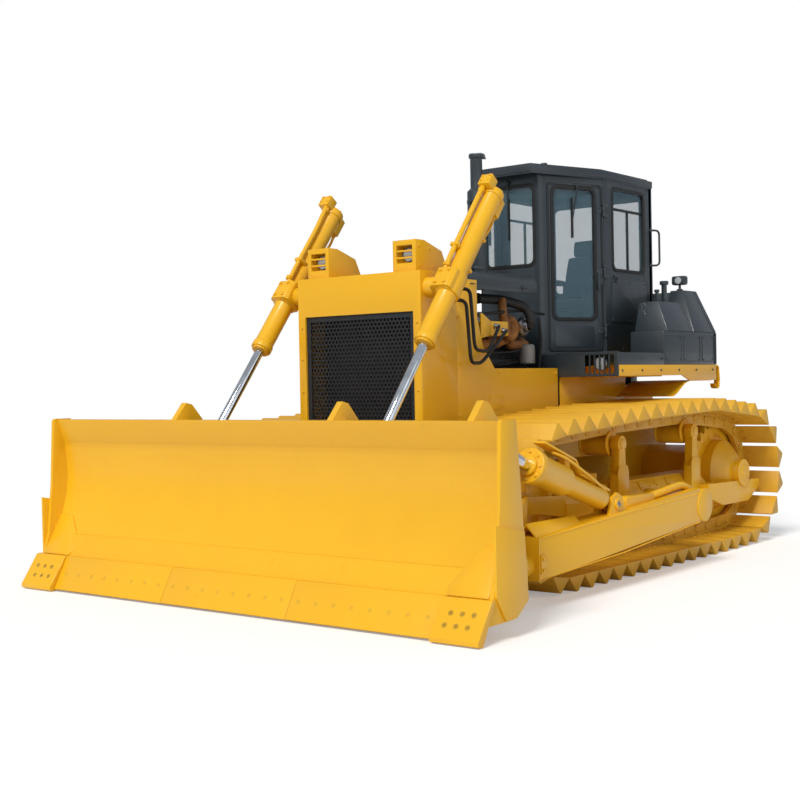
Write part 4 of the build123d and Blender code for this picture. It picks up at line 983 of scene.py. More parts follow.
@pair(DARK, 8, stands_for="rear_tanks")
def side_tank(shape):
    brick(shape, LEVEL, TANK_X, FENDER_HALF, 4215, 5280, 1675, 1976)
    hull_of(shape, oblong(TANK_X, FENDER_HALF, 4816, 5225, 1976), oblong(TANK_X, 1000, 5014, 5225, 2380))
    hull_of(shape, oblong(TANK_X, FENDER_HALF, 4295, 4816, 1976), oblong(TANK_X, 1060, 4385, 4850, 2250))
    x, z = 925, 2435
    turned(shape, upward(x, 5100, 2375), [(0, 12), (64, 12)], 14)
    front_slab(shape, rounded(x - 70, x + 70, z, z + 85, 20), 5068, 5132)
    side_slab(shape, [(5085, 2378), (5085, 2400), (5115, 2400), (5115, 2378)], x - 28, x + 28)


@piece(DARK, 1)
def tank_filler(shape):
    turned(shape, upward(1000, 4629, 2245), [(0, 25), (165, 25), (166, 37), (170, 40), (196, 40), (201, 34),
        (201, 0)], 28)
    turned(shape, upward(990, 4504, 2245), [(0, 16), (92, 16), (94, 24), (116, 24), (118, 18), (118, 0)], 20)
    turned(shape, upward(1000, 4629, 2250), [(0, 40), (6, 40), (8, 36), (8, 25)], 24)


@pair(YELLOW, 2, stands_for="fenders")
def fender_band(shape):
    """Side band with its arch, deck, inner web, and the hooked rear end."""
    outline = [(3395, 1580), (3395, 1675), (5280, 1675), (5280, 1530), (4717, 1530), (4560, 1580)]
    side_slab(shape, outline, 1188, FENDER_HALF)
    brick(shape, LEVEL, 600, 1188, 3520, 5280, 1663, 1675)
    side_slab(shape, [(3420, 1180), (3420, 1663), (4600, 1663), (4560, 1430), (4500, 1180)], 600, 614)
    for y in (3760, 4180):
        brick(shape, LEVEL, 614, 1188, y, y + 12, 1572, 1664)
    arch = [(4400, 1398), (4480, 1424), (4560, 1470), (4640, 1512), (4730, 1534), (5190, 1534)]
    bent_sheet(shape, arch, 612, 1190, 8)
    hook = [(5280, 1672), (5324, 1672), (5346, 1650), (5360, 1522), (5347, 1466), (5316, 1448), (5284, 1458),
        (5274, 1490)]
    bent = [(y + (0 if i < 1 else -9), z + (-13 if i < 3 else 9 if i > 4 else 0)) for i,
        (y, z) in enumerate(hook)]
    for i in range(len(hook) - 1):
        side_slab(shape, [hook[i], hook[i + 1], bent[i + 1], bent[i]], FENDER_HALF - 60, FENDER_HALF)


@pair(DARK, stands_for="fender_boxes")
def fender_front_box(shape):
    """Dark box with a barred window in its front and the deck plate on top."""
    front, low, high = 3381, 1580, 1790
    brick(shape, LEVEL, 1186, FENDER_HALF, 3395, 4214.7, 1675, 1778)
    brick(shape, LEVEL, 600, 1186, 3395, 4214.7, 1764, 1778)
    gasket(shape, FACE, rounded(600, FENDER_HALF, low, high, 4), rounded(880, 1160, low + 25, high - 27, 14),
        -3395, -front)
    for i in range(5):
        x = 880 + 280 * (i + 1) / 6
        brick(shape, LEVEL, x - 6, x + 6, front, 3395, low + 20, high - 20)
    turned(shape, forward(1020, 3412, 1691), [(-64, 34), (-50, 58), (-3, 62), (4, 62), (4, 55), (0, 55)], 28)
    brick(shape, LEVEL, 1000, 1040, 3436, 3456, 1740, 1768)


# Tilt cylinder, push arms and blade
@piece(YELLOW, 3, "blade_frame", stands_for="tilt_barrel")
def tilt_cylinder(shape):
    """Stepped tilt cylinder with its head flange, rear eye and cover plate."""
    turned(shape, tilt_frame(0), [(20, 44), (146, 44), (150, 80), (690, 80), (700, 108), (1076, 108),
        (1080, 125), (1146, 125), (1150, 121), (1150, 40)], 40)
    turned(shape, outward(TILT_X - 45, *TILT_REAR), [(0, 58), (90, 58)], 28)
    line = [(1308, 1141), (1713, 995), (1792, 890), (2190, 745)]
    for (a, b), (c, d) in zip(line, line[1:]):
        side_slab(shape, [(a, b), (c, d), (c - 6, d - 15), (a - 6, b - 15)], TILT_X - 52, TILT_X + 52)
    side_slab(shape, [(1600, 920), (1600, 1030), (1660, 1010), (1660, 900)], TILT_X - 30, TILT_X + 30)
    side_slab(shape, [(1950, 780), (1950, 822), (2010, 800), (2010, 770)], TILT_X - 30, TILT_X + 30)


@piece(CHROME, 0, "blade_frame", stands_for="tilt_rod")
def tilt_stick(shape):
    turned(shape, tilt_frame(0), [(1146, 44), (1765, 44)], 32)


@piece(YELLOW, 1, "blade_frame", stands_for="tilt_rod")
def tilt_eye(shape):
    turned(shape, outward(TILT_X - 45, *TILT_FRONT), [(0, 68), (2, 70), (88, 70), (90, 68)], 32)


@pair(STEEL, 0, "blade_frame")
def tilt_pins(shape):
    for y, z in (TILT_REAR, TILT_FRONT):
        turned(shape, outward(TILT_X - 84, y, z), [(0, 26), (3, 30), (165, 30), (168, 26)], 24)


@pair(YELLOW, 2, "blade_frame")
def arm_cover(shape):
    """Ridged cover over the hoses in front, the lug and oil pipe behind, and a plain end plate."""
    low, half = 496, 88
    front_slab(shape, [(TILT_X - half, low), (TILT_X, low + 96), (TILT_X + half, low),
        (TILT_X + half - 16, low), (TILT_X, low + 78), (TILT_X - half + 16, low)], 1120, 1760)
    side_slab(shape, [(2440, 560), (2440, 640), (2475, 668), (2530, 668), (2900, 662), (2900, 596),
        (2560, 574)], TILT_X - 38, TILT_X + 38)
    tube(shape, [(TILT_X, 2880, 632), (TILT_X, 3440, 690), (TILT_X, 3600, 640)], 30, 90, 16)
    turned(shape, outward(ARM_OUTER_X, 3650, 510), [(-2, 136), (6, 136), (8, 132), (8, 0)], 40)
    side_slab(shape, [(1100, 214), (1100, 502), (1112, 502), (1112, 214)], ARM_OUTER_X, ARM_OUTER_X + 7)


@pair(YELLOW, 2, "blade_frame")
def blade_plates(shape):
    """Doubler outside the blade's end and the wear plate over the face's lower corner."""
    foot = [(433, 215), (300, 122), (190, 116), (86, 270)]
    side_slab(shape, [(84, 702), (400, 640)] + foot, 2163, 2181)
    outline = [(2134, 266), (2134, 560), (2045, 560), (1990, 552), (1865, 420), (1810, 312), (1826, 266)]
    front, back = ([shape.verts.new(at(x, blade_skin(z) + offset, z)) for x, z in outline]
        for offset in (-12, 2))
    shape.faces.new(front)
    shape.faces.new(back[::-1])
    join(shape, front, back)


# Chassis forms
@pair(YELLOW, 2)
def carrier_clamps(shape):
    """Broad feet and round clamps on the carrier posts."""
    for y, top in POSTS:
        side_slab(shape, [(y - 85, 560), (y - 85, 800), (y - 60, 850), (y + 70, 850), (y + 95, 800),
            (y + 95, 560)], SIDE_X + 216, SIDE_X + 228)
        turned(shape, outward(SIDE_X + 150, y, top), [(0, 70), (70, 70), (74, 66), (74, 42),
            (82, 40), (82, 0)], 28)
        turned(shape, outward(SIDE_X + 114, y, top), [(0, 104), (14, 104), (16, 100), (16, 0)], 32)
        turned(shape, outward(SIDE_X - 130, y, top), [(0, 104), (14, 104), (16, 100), (16, 0)], 32)


@pair(YELLOW, 1)
def drive_cap(shape):
    """Stepped cap in the outrigger over the final drive's outer bearing."""
    turned(shape, outward(SIDE_X + 322, DRIVE_Y, DRIVE_Z), [(0, 126), (8, 126), (12, 120), (12, 74), (18, 70),
        (22, 58), (22, 0)], 40)


@pair(RUBBER, 0)
def lift_hoses(shape):
    """Two rubber hoses from fittings on the guard's side, down in a bend and up to the engine bracket."""
    tube(shape, [(640, 1860, 2270), (748, 1900, 2270), (742, 1960, 1800), (705, 2200, 1790), (640, 2450, 2000),
        (606, 2452, 2001)], 14, 75, 12)
    tube(shape, [(640, 1790, 2180), (766, 1820, 2180), (760, 1880, 1700), (690, 2120, 1700), (640, 2560, 1965),
        (606, 2562, 1966)], 14, 75, 12)


@pair(STEEL, 0.6)
def hose_ends(shape):
    for y, z in ((1860, 2270), (1790, 2180)):
        turned(shape, outward(GUARD_HALF, y, z), [(-2, 30), (8, 30), (9, 22), (40, 22), (42, 18), (60, 18)], 6)
    for y, z in ((2450, 2000), (2560, 1965)):
        turned(shape, outward(598, y, z), [(0, 26), (10, 26), (11, 19), (44, 19)], 6)


# Guard and lamps
@piece(SCREEN, 0, stands_for="grille")
def grille_screen(shape):
    """Steel screen with staggered six-sided holes inside a plain border."""
    half, low, high, near, far = 544.7, 900.3, 2093.7, 1465, 1475
    face = forward(0, near, 0)
    outer = [(half, high), (-half, high), (-half, low), (half, low)]
    inner = [(half - 42, high - 42), (-half + 42, high - 42), (-half + 42, low + 42), (half - 42, low + 42)]
    gasket(shape, face, outer, inner, near - far, 3)
    pitch, hole = 36.0, 14.5
    row_step = pitch * sqrt(3) / 2
    rows = int((high - low - 60) / row_step)
    columns = int((2 * half - 60) / pitch)
    for row in range(rows):
        z = (low + high) / 2 + (row - (rows - 1) / 2) * row_step
        count = columns - row % 2
        for i in range(count):
            x = (i - (count - 1) / 2) * pitch
            gasket(shape, face, hexagon(x, z, pitch / sqrt(3)), hexagon(x, z, hole), -6, 0)


@piece(YELLOW, 0.6)
def guard_bolts(shape):
    face = forward(0, GUARD_FRONT_Y, 0)
    for z in (990, 1240, 1500, 1760, 2010):
        bolts(shape, face, (-581, 581), (z,), 9)
    bolts(shape, face, (-400, -135, 135, 400), (862,), 9)


def make_headlamps():
    front, z = GUARD_FRONT_Y + 45 + 56, 2398 + 132
    bowl, glass, rim, bulb = lamp_parts(front, 435, z, 57, 48)
    build_pair("headlamp_glass", glass, LENS, 0, stands_for="headlamp_lenses")
    build_pair("headlamp_bowl", bowl, CHROME, 0)
    build_pair("headlamp_rim", rim, PLASTIC, 0.5)
    build_pair("headlamp_bulb", bulb, STEEL, 0)


BUILDERS.append(make_headlamps)


@pair(YELLOW, 0.5)
def lamp_bolts(shape):
    side = outward(545, 0, 0)
    for y, z in ((1530, 2440), (1700, 2440), (1530, 2590), (1660, 2575)):
        bolt(shape, side, y, z, 7)
    top = upward(0, 0, 2398 + 239)
    bolts(shape, top, (360, 510), (1530,), 7)


# Blade bolts
@piece(BOLT_PAINT, 0, "blade_frame")
def edge_bolts(shape):
    for segment in (-1, 0, 1):
        for i in range(8):
            plow_head(shape, EDGE_LEAN, segment * 1215 + (i - 3.5) * 152, -6, 15)


@pair(DARK_BOLT, 0, "blade_frame")
def end_bit_bolts(shape):
    for x in (1905, 1990, 2075):
        for v in (-48, 34):
            plow_head(shape, END_LEAN, x + (v + 48) * 0.2, v, 16)


# Chain and undercarriage
@pair(TRACK_YELLOW, 2)
def chain_links(shape):
    """Offset link plates with their pin bosses on both outer sides of the chain."""
    for side, face_x in ((1, SIDE_X + 112), (-1, SIDE_X - 112)):
        for i, (y, z) in enumerate(PINS):
            yb, zb = PINS[(i + 1) % len(PINS)]
            along = Vector((0, yb - y, zb - z)).normalized()
            face = plane((face_x, y, z), tuple(along * side), tuple(Vector((side, 0, 0)).cross(along * side)))
            reach = PITCH * side
            start = 0 if side > 0 else reach
            outline = [(start + 40, -34), (start + 176, -34), (start + 188, 6), (start + 176, 40),
                (start + 40, 40), (start + 28, 6)]
            slab(shape, face, outline, -2, 5)
            turned(shape, face, [(-2, 36), (9, 36), (12, 32), (12, 17), (9, 16), (9, 0)], 14)


@pair(TRACK_YELLOW, 0)
def shoe_bolts(shape):
    """The bolts that hold each shoe, seen inside the chain."""
    for i, (y, z) in enumerate(PINS):
        yb, zb = PINS[(i + 1) % len(PINS)]
        along = Vector((0, yb - y, zb - z)).normalized()
        out = Vector((1, 0, 0)).cross(along)
        middle = ((y + yb) / 2, (z + zb) / 2)
        for x in (-165, 165):
            face = plane((SIDE_X + x, middle[0] + out.y * 62, middle[1] + out.z * 62), (-1, 0, 0), tuple(along))
            if face.to_3x3().col[2].dot(out) > 0:
                face = plane((SIDE_X + x, middle[0] + out.y * 62, middle[1] + out.z * 62), (1, 0, 0),
                    tuple(along))
            for v in (-42, 42):
                bolt(shape, face, 0, v, 11)


@pair(YELLOW, 0.6)
def drive_bolts(shape):
    face = outward(SIDE_X + 122, DRIVE_Y, DRIVE_Z)
    bolt_ring(shape, face, 238, 16, 13, 8)
    cap = outward(SIDE_X + 328 + 14, DRIVE_Y, DRIVE_Z)
    bolt_ring(shape, cap, 40, 4, 8, 0, 0.5)
    flange = outward(SIDE_X + 328, DRIVE_Y, DRIVE_Z)
    bolt_ring(shape, flange, 92, 10, 11)


@pair(YELLOW, 0.6)
def sprocket_bolts(shape):
    face = outward(SIDE_X + 38, DRIVE_Y, DRIVE_Z)
    for i in range(9):
        for k in (-1, 0, 1):
            a = 2 * pi * (i + k * 0.22) / 9
            bolt(shape, face, 345 * cos(a), 345 * sin(a), 13)


@pair(YELLOW, 0.8)
def roller_caps(shape):
    """End collars and bolts of the track rollers and carriers."""
    for i in range(8):
        y = 2400 + i * 2300 / 7
        face = outward(SIDE_X + 185, y, 340.3)
        turned(shape, face, [(0, 46), (10, 46), (14, 40), (14, 0)], 20)
        bolt_ring(shape, face, 64, 4, 10, 0, 0.5)
        bolt(shape, face, 0, 0, 12, 14)


@pair(YELLOW, 1)
def roller_frame_covers(shape):
    """Bolted covers along the roller frame's outer slope and the posts' clamp bolts."""
    slope = plane((SIDE_X + 105, 0, 705), (0, 1, 0), (-80, 0, 105))
    for y0, y1 in ((2480, 2760), (3560, 3880), (4060, 4330)):
        slab(shape, slope, rounded(y0, y1, -108, -24, 14), -4, 9)
        bolts(shape, slope, (y0 + 30, (y0 + y1) / 2, y1 - 30), (-92, -40), 8, 9)
    for y, top in POSTS:
        face = outward(SIDE_X + 220, y, top)
        bolt_ring(shape, face, 54, 4, 8, 0, 0.5)
        foot = outward(SIDE_X + 220, y, 0)
        bolts(shape, foot, (-55, 10, 75, 110), (640,))


# Arm and cylinder fittings
@pair(YELLOW, 0, "blade_frame")
def arm_caps(shape):
    outer = outward(ARM_OUTER_X, 0, 0)
    slab(shape, outer, rounded(1112, 1192, 256, 386, 20), -2, 16)
    bolts(shape, outer, (1135, 1165), (282, 360), 13, 16)
    for points in (((ARM_OUTER_X, 1110, 495), (ARM_OUTER_X, 2308, 561), (ARM_OUTER_X, 3560, 612)),
            ((ARM_OUTER_X, 1110, 218), (ARM_OUTER_X, 2308, 276), (ARM_OUTER_X, 3560, 380))):
        weld(shape, points, 5)


@piece(YELLOW, 0.8, "blade_frame")
def tilt_head_bolts(shape):
    head = tilt_frame(1150)
    bolt_ring(shape, head, 98, 8, 12)
    turned(shape, head, [(-2, 74), (26, 74), (30, 68), (30, 44.5)], 28)
    for y, z in (TILT_REAR, TILT_FRONT):
        face = outward(TILT_X + 71, y, z)
        turned(shape, face, [(0, 44), (10, 44), (12, 40), (12, 0)], 20)
        bolt_ring(shape, face, 26, 2, 8, 12, 0.2)
    tube(shape, [(TILT_X + 40, 2140, 740), (TILT_X + 64, 1900, 850), (TILT_X + 64, 1560, 1010),
        (TILT_X + 30, 1420, 1060)], 11, 60)


@pair(YELLOW, 0.8, "lift_barrel_left")
def lift_head_bolts(shape):
    top = lift_frame(-956)
    back = top @ Matrix.Rotation(pi, 4, "X")
    bolt_ring(shape, back, 66, 6, 10)
    head = lift_frame(545)
    turned(shape, head, [(-4, 70), (12, 70), (16, 62), (16, 37)], 28)
    bolt_ring(shape, head, 58, 8, 7, 12)
    for d in (-992, -946):
        for u in (-34, 34):
            spot = lift_frame(d) @ Matrix.Translation((u / 1000, 0.152, 0)) @ Matrix.Rotation(-pi / 2, 4, "X")
            bolt(shape, spot, 0, 0, 9)
    boss = plane((LIFT_X - 112 + 6, *TRUNNION), (0, -1, 0))
    bolt_ring(shape, boss, 62, 6, 9, 0)


@pair(YELLOW, 0.8, "lift_barrel_left")
def yoke_bolts(shape):
    """Clamp bolts on the yoke's front face."""
    for d in (-58, 58):
        for u in (-52, 30):
            spot = lift_frame(d) @ Matrix.Translation((u / 1000, 0.118, 0)) @ Matrix.Rotation(-pi / 2, 4, "X")
            bolt(shape, spot, 0, 0, 12)


# Cab fittings
@piece(RUBBER, 2)
def window_rubbers(shape):
    """Window rubbers round the front and rear panes; the side panes' rubbers are in side_window_rubber."""
    for wall, pane in ((FRONT_WALL, FRONT_PANE), (REAR_WALL, REAR_PANE)):
        rim(shape, wall, pane, 16, -12, 70, 50, -26, 7)


@pair(RUBBER, 2)
def side_window_rubber(shape):
    """Rubber and the two bars of the sliding side window."""
    rim(shape, SIDE_WALL, FLANK_PANE, 16, -12, 70, 50, -26, 7)
    u0, u1, v0 = FLANK_PANE[:3]
    brick(shape, SIDE_WALL, u0 + 12, u1 - 12, 1340, 1362, -28, -8)
    brick(shape, SIDE_WALL, 455, 475, v0 + 12, 1340, -28, -8)


@pair(RUBBER, 2, "door_leaf_left")
def door_rubber(shape):
    rim(shape, DOOR_WALL, DOOR_PANE, 18, -12, 72, 50, -22, 8)
    rim(shape, DOOR_WALL, DOOR_HOLE, -12, -22, 34, 26, -2, 3)


@pair(DARK, body="door_leaf_left")
def door_gear(shape):
    """Lock box, lever handle, lower kick panel and hinge bolts on the door."""
    slab(shape, DOOR_WALL, rounded(628, 698, 640, 790, 10), -2, 14)
    turned(shape, DOOR_WALL @ Matrix.Translation((0.655, 0.745, 0.014)), [(0, 22), (12, 22), (15, 18),
        (15, 0)], 20)
    slab(shape, DOOR_WALL, rounded(634, 652, 590, 745, 8), 14, 34)
    turned(shape, DOOR_WALL @ Matrix.Translation((0.655, 0.672, 0.014)), [(0, 12), (5, 12), (6, 9),
        (3, 8), (3, 0)], 16)
    slab(shape, DOOR_WALL, rounded(160, 600, 70, 262, 22), -2, 4)
    for rise in HINGE_RISES:
        bolts(shape, DOOR_WALL, (FACET - 74, FACET - 46), (rise - 18, rise + 18), 6, 5)


@pair(DARK)
def wall_gear(shape):
    """Catch, lower panel seams and bolts on the cab's flank."""
    slab(shape, SIDE_WALL, rounded(180, 226, 672, 742, 8), -2, 12)
    slab(shape, SIDE_WALL, rounded(196, 210, 690, 724, 5), 12, 26)
    slab(shape, SIDE_WALL, rounded(120, 800, 300, 700, 24), -2, 4)
    bolts(shape, SIDE_WALL, (140, 460, 780), (320, 680), 7, 4)
    for v in (60, 1590):
        bolts(shape, SIDE_WALL, (40, 320, 600, 850), (v,), 7)


@pair(DARK, 1)
def handrail_feet(shape):
    for z in (CAB_FLOOR_Z + 870, CAB_FLOOR_Z + 1210):
        face = plane((CAB_HALF - 16, CAB_REAR_Y - 16, z), (-1, 1, 0), (0, 0, 1))
        turned(shape, face, [(-8, 24), (12, 24), (14, 20), (14, 10)], 18)


@pair(DARK, 0)
def corner_posts(shape):
    """Weld seams down the cab's corner posts."""
    for x, y in ((CAB_NOSE_HALF, CAB_FRONT_Y), (CAB_HALF, CAB_CORNER_Y), (CAB_HALF, CAB_REAR_Y)):
        tube(shape, [(x, y, CAB_FLOOR_Z + 6), (x, y, 3398)], 7, 10, 10)


@piece(DARK, 2)
def roof_gear(shape):
    """Rain gutter under the roof's rim, roof hatch and its bolts."""
    half = [(CAB_NOSE_HALF + 12, CAB_FRONT_Y - 112), (CAB_HALF + 8, CAB_CORNER_Y - 2),
        (CAB_HALF + 8, CAB_REAR_Y + 8)]
    outline = both_sides(half)
    inner = [(x * 0.955, y + (24 if y < 4000 else -24 if y > 5000 else 2)) for x, y in outline]
    level = upward(0, 0, EAVES_Z)
    gasket(shape, level, outline, inner, -14, 1)
    roof = upward(0, 0, EAVES_Z + 80)
    slab(shape, roof, rounded(-250, 250, 4500, 4990, 60), -2, 3)
    bolts(shape, roof, (-220, 0, 220), (4530, 4960), 8, 3)
    for x, y in half:
        bolt(shape, upward(0, 0, EAVES_Z + 60), x - 24, y + 30 if y < 5000 else y - 30, 8)


@piece(PLASTIC, 1)
def front_wiper(shape):
    wiper(shape, FRONT_WALL, 0, 1560, 330, -90, 380)


@piece(PLASTIC, 1)
def rear_wiper(shape):
    wiper(shape, REAR_WALL, 0, 1550, 300, -90, 400)


@pair(PLASTIC, 1, "door_leaf_left")
def door_wiper(shape):
    wiper(shape, DOOR_WALL, 420, 1522, 290, -100, 360)


# Seat: padded cushions in the CAD seat's places
def make_seat():
    y, z = SEAT_Y, SEAT_Z
    cushion = padded_block("seat_cushion", (0, y + 250, z - 62), (480, 500, 110), 16, 0, (-0.45, 0.45))
    back = padded_block("seat_back", (0, y + 492, z + 222), (420, 440, 90), 18, 76, (-0.5, 0.5))
    head = padded_block("seat_headrest", (0, y + 545, z + 515), (290, 150, 70), 12, 82)
    for x, side in ((-230, "right"), (230, "left")):
        padded_block("seat_armrest_" + side, (x, y + 310, z + 178), (64, 330, 50), 6)
    for piece in (cushion, back, head):
        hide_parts("seat")

    def frame_parts(shape):
        slab(shape, LEVEL, rounded(-170, 170, y + 80, y + 400, 26), 1810, 1850)
        slab(shape, LEVEL, rounded(-150, 150, y + 100, y + 380, 20), 2150, 2195)
        for k in range(7):
            grow = 8 if k % 2 else -2
            slab(shape, LEVEL, rounded(-140 - grow, 140 + grow, y + 110 - grow, y + 370 + grow, 30),
                1850 + k * 43, 1893 + k * 43)
        slab(shape, LEVEL, rounded(-225, 225, y + 20, y + 480, 40), 2195, 2222)
        slab(shape, SIDE, [(y + 470, z - 120), (y + 545, z - 110), (y + 640, z + 420), (y + 590, z + 425)],
            -190, 190)
        for x in (-70, 70):
            tube(shape, [(x, y + 590, z + 390), (x, y + 560, z + 470)], 8, 10, 8)
        for x in (-230, 230):
            slab(shape, outward(x, 0, 0), [(y + 450, z - 60), (y + 520, z - 60), (y + 540, z + 160),
                (y + 470, z + 160)], -14, 14)

    build("seat_frame", frame_parts, PLASTIC, 4)


BUILDERS.append(make_seat)


# Engine bay
@piece(ENGINE_GREY, 2)
def engine_covers(shape):
    """Rocker covers, round side bosses, bolts and plates round the closed engine block; the manifold branches,
    filters and lines are separate pieces.
    """
    top = upward(0, 0, 1980)
    for y in ENGINE_ROWS:
        slab(shape, top, rounded(-110, 90, y - 68, y + 68, 22), -2, 74)
        slab(shape, top, rounded(-118, 98, y - 76, y + 76, 16), -2, 14)
        bolt(shape, top, -10, y, 11, 74)
    side = outward(330, 0, 0)
    for y in ENGINE_ROWS:
        for v in (1300, 1430, 1560):
            turned(shape, side @ Matrix.Translation((y / 1000, v / 1000, 0)),
                [(0, 34), (9, 34), (12, 30), (12, 0)], 20)
    bolts(shape, side, range(2300, 3300, 110), (1130, 1700, 1760), 10)
    slab(shape, side, rounded(2290, 3290, 1700, 1740, 12), -2, 22)
    slab(shape, side, rounded(2560, 2900, 1180, 1270, 20), -2, 40)


@piece(FILTER_YELLOW, 1)
def engine_filters(shape):
    for y, r in ((2330, 52), (2470, 52)):
        turned(shape, upward(400, y, 1380), [(0, r * 0.9), (6, r), (200, r), (212, r * 0.9), (212, 40),
            (232, 40)], 28)
    turned(shape, upward(455, 3140, 1700), [(0, 62), (8, 70), (150, 70), (166, 56), (166, 0)], 28)


@piece(RUSTED, 0)
def exhaust_manifold(shape):
    for y in ENGINE_ROWS:
        tube(shape, [(326, y, 1900), (400, y, 1900), (412, y + (2820 - y) * 0.12, 1860)], 32, 60)
    tube(shape, [(410, 2290, 1860), (410, 2700, 1862), (425, 2830, 1905), (470, 2880, 1935)], 44, 90, 16)
    tube(shape, [(410, 3180, 1860), (410, 2950, 1862), (430, 2880, 1900)], 44, 80, 16)


@piece(RUBBER, 0, slot="engine_black")
def intake_pipe(shape):
    """Air pipe from the compressor's mouth forward under the hood."""
    tube(shape, [(556, 3025, 2015), (585, 3025, 2060), (540, 3000, 2180), (430, 2800, 2235), (420, 2450, 2235)],
        40, 90, 16)
    for d, spot in enumerate(((574, 3025, 2042), (420, 2480, 2235))):
        tube(shape, [spot, (spot[0] + 1, spot[1] + (-26 if d else 4), spot[2] + (0 if d else 24))], 45, 5, 16)


@piece(RUBBER, 0)
def engine_lines(shape):
    """Fuel, oil and wiring lines along the engine and behind the side plate."""
    tube(shape, [(360, 2260, 1650), (430, 2300, 1700), (440, 2800, 1690), (400, 3250, 1740), (340, 3300, 1800)],
        9, 60, 8)
    tube(shape, [(350, 2300, 1810), (470, 2420, 1780), (480, 2900, 1800), (420, 3200, 1850)], 8, 60, 8)
    tube(shape, [(500, 2260, 2080), (520, 2500, 2110), (500, 3000, 2150), (480, 3380, 2130)], 13, 80, 10)
    tube(shape, [(340, 3290, 1500), (430, 3350, 1560), (440, 3400, 1900), (400, 3425, 2100)], 14, 60, 10)


# Hull fittings
@pair(YELLOW, 1)
def side_plate_gear(shape):
    face = outward(GUARD_HALF, 0, 0)
    for y, z in ((1925, 930), (1925, 1300), (1925, 1700), (1925, 2060), (1925, 2330), (2150, 2330), (3340, 930),
            (3340, 1300), (3340, 1620), (2480, 1632), (2900, 1632)):
        bolt(shape, face, y, z, 10)
    slab(shape, face, rounded(2330, 2530, 1330, 1450, 14), -2, 5)
    bolts(shape, face, (2345, 2515), (1345, 1435), 6, 5)


@pair(DARK)
def hood_gear(shape):
    """Latch handle on the hood's side, hinge strap across the top and its bolts."""
    x = HOOD_HALF
    face = outward(x, 0, 0)
    for y in (2120, 2900):
        slab(shape, face, rounded(y - 42, y + 42, 2304, 2350, 8), -2, 6)
        tube(shape, [(x + 2, y - 30, 2326), (x + 24, y - 28, 2326), (x + 24, y + 28, 2326),
            (x + 2, y + 30, 2326)], 5, 10, 8)
    top = upward(0, 0, HOOD_TOP_Z)
    brick(shape, top, -12, 12, 1915, 2960, -2, 6)
    for y in (1950, 2150, 2350, 2550, 2750, 2930):
        bolts(shape, top, (-480, 480), (y,), 8)
    slab(shape, top, rounded(-170, 170, 2060, 2240, 40), -2, 7)


@piece(DARK, 1)
def exhaust_bands(shape):
    for z in (2540, 3120):
        face = upward(0, PIPE_Y, z)
        turned(shape, face, [(-14, 84), (-14, 87), (14, 87), (14, 84)], 40)
        slab(shape, upward(0, PIPE_Y, z), rounded(-14, 14, -112, -84, 4), -12, 12)
        bolt(shape, outward(14, PIPE_Y - 98, z), 0, 0, 7)
    base = upward(0, PIPE_Y, 2452)
    bolt_ring(shape, base, 92, 6, 7)


@pair(DARK, 1)
def fender_gear(shape):
    """Tread strips on the deck and the band's bolts."""
    shelf = upward(0, 0, 1778)
    for x in range(680, 1180, 62):
        slab(shape, shelf, rounded(x - 13, x + 13, 3450, 4170, 11), -2, 3)
    band = outward(FENDER_HALF, 0, 0)
    bolts(shape, band, range(3450, 5201, 350), (1628,), 9)


@pair(DARK, 1)
def box_bolts(shape):
    side = outward(FENDER_HALF, 0, 0)
    bolts(shape, side, (3430, 3800, 4180), (1730,), 8)
    z0, z1 = 1700, 1950
    for y0, y1 in ((4240, 4560), (4600, 4940), (4980, 5250)):
        rim(shape, side, (y0, y1, z0, z1), 0, -9, 18, 12, -2, 3)
        bolts(shape, side, (y0 + 24, y1 - 24), (z0 + 24, z1 - 24), 7)


@piece(DARK, 2)
def tank_rear(shape):
    """Rear cover plates with bolts, two grab rails and the round boss between them."""
    rear = backward(0, 5300, 0)
    for x in (-640, 640):
        slab(shape, rear, rounded(x - 300, x + 300, 1780, 2240, 40), -2, 6)
        bolts(shape, rear, (x - 270, x - 90, x + 90, x + 270), (1810, 2210), 9, 6)
    turned(shape, rear @ Matrix.Translation((0, 2.01, 0)), [(-2, 70), (14, 70), (20, 62), (20, 0)], 32)
    turned(shape, rear @ Matrix.Translation((0, 2.01, 0.020)), [(0, 30), (14, 26), (14, 0)], 6)
    for side in (-1, 1):
        x = side * 640
        tube(shape, [(x - 180, 5298, 2300), (x - 180, 5340, 2300), (x + 180, 5340, 2300),
            (x + 180, 5298, 2300)], 11, 25, 10)


@pair(LENS, 0)
def work_lamp_glass(shape):
    face = backward(925, 5136, 2380 + 55 + 42)
    turned(shape, face, [(-2, 30), (3, 30), (5, 26), (5, 0)], 24)
    front = forward(925, 5064, 2380 + 55 + 42)
    turned(shape, front, [(-2, 32), (3, 32), (5, 28), (5, 0)], 24)


@pair(LENS, 0)
def fender_lamp_glass(shape):
    bay_x, z = (880 + 1160) / 2, (1580 + 1778) / 2 + 12
    face = forward(bay_x, 3412, z)
    turned(shape, face, [(-2, 55), (2, 55), (6, 40), (8, 0)], 28)


@piece(YELLOW)
def case_gear(shape):
    """Bolted covers on the rear case, and the drawbar's bolts and pin."""
    rear = backward(0, 5560, 0)
    bolts(shape, rear, (-460, -230, 230, 460), (520, 760, 1000), 14)
    turned(shape, rear @ Matrix.Translation((0, 0.93, 0)), [(-2, 120), (14, 120), (20, 110), (20, 0)], 36)
    bolt_ring(shape, rear @ Matrix.Translation((0, 0.93, 0)), 96, 8, 11, 20)
    deck = upward(0, 0, 1080)
    turned(shape, deck @ Matrix.Translation((0, 5.43, 0)), [(-2, 70), (60, 70), (70, 60), (70, 0)], 30)


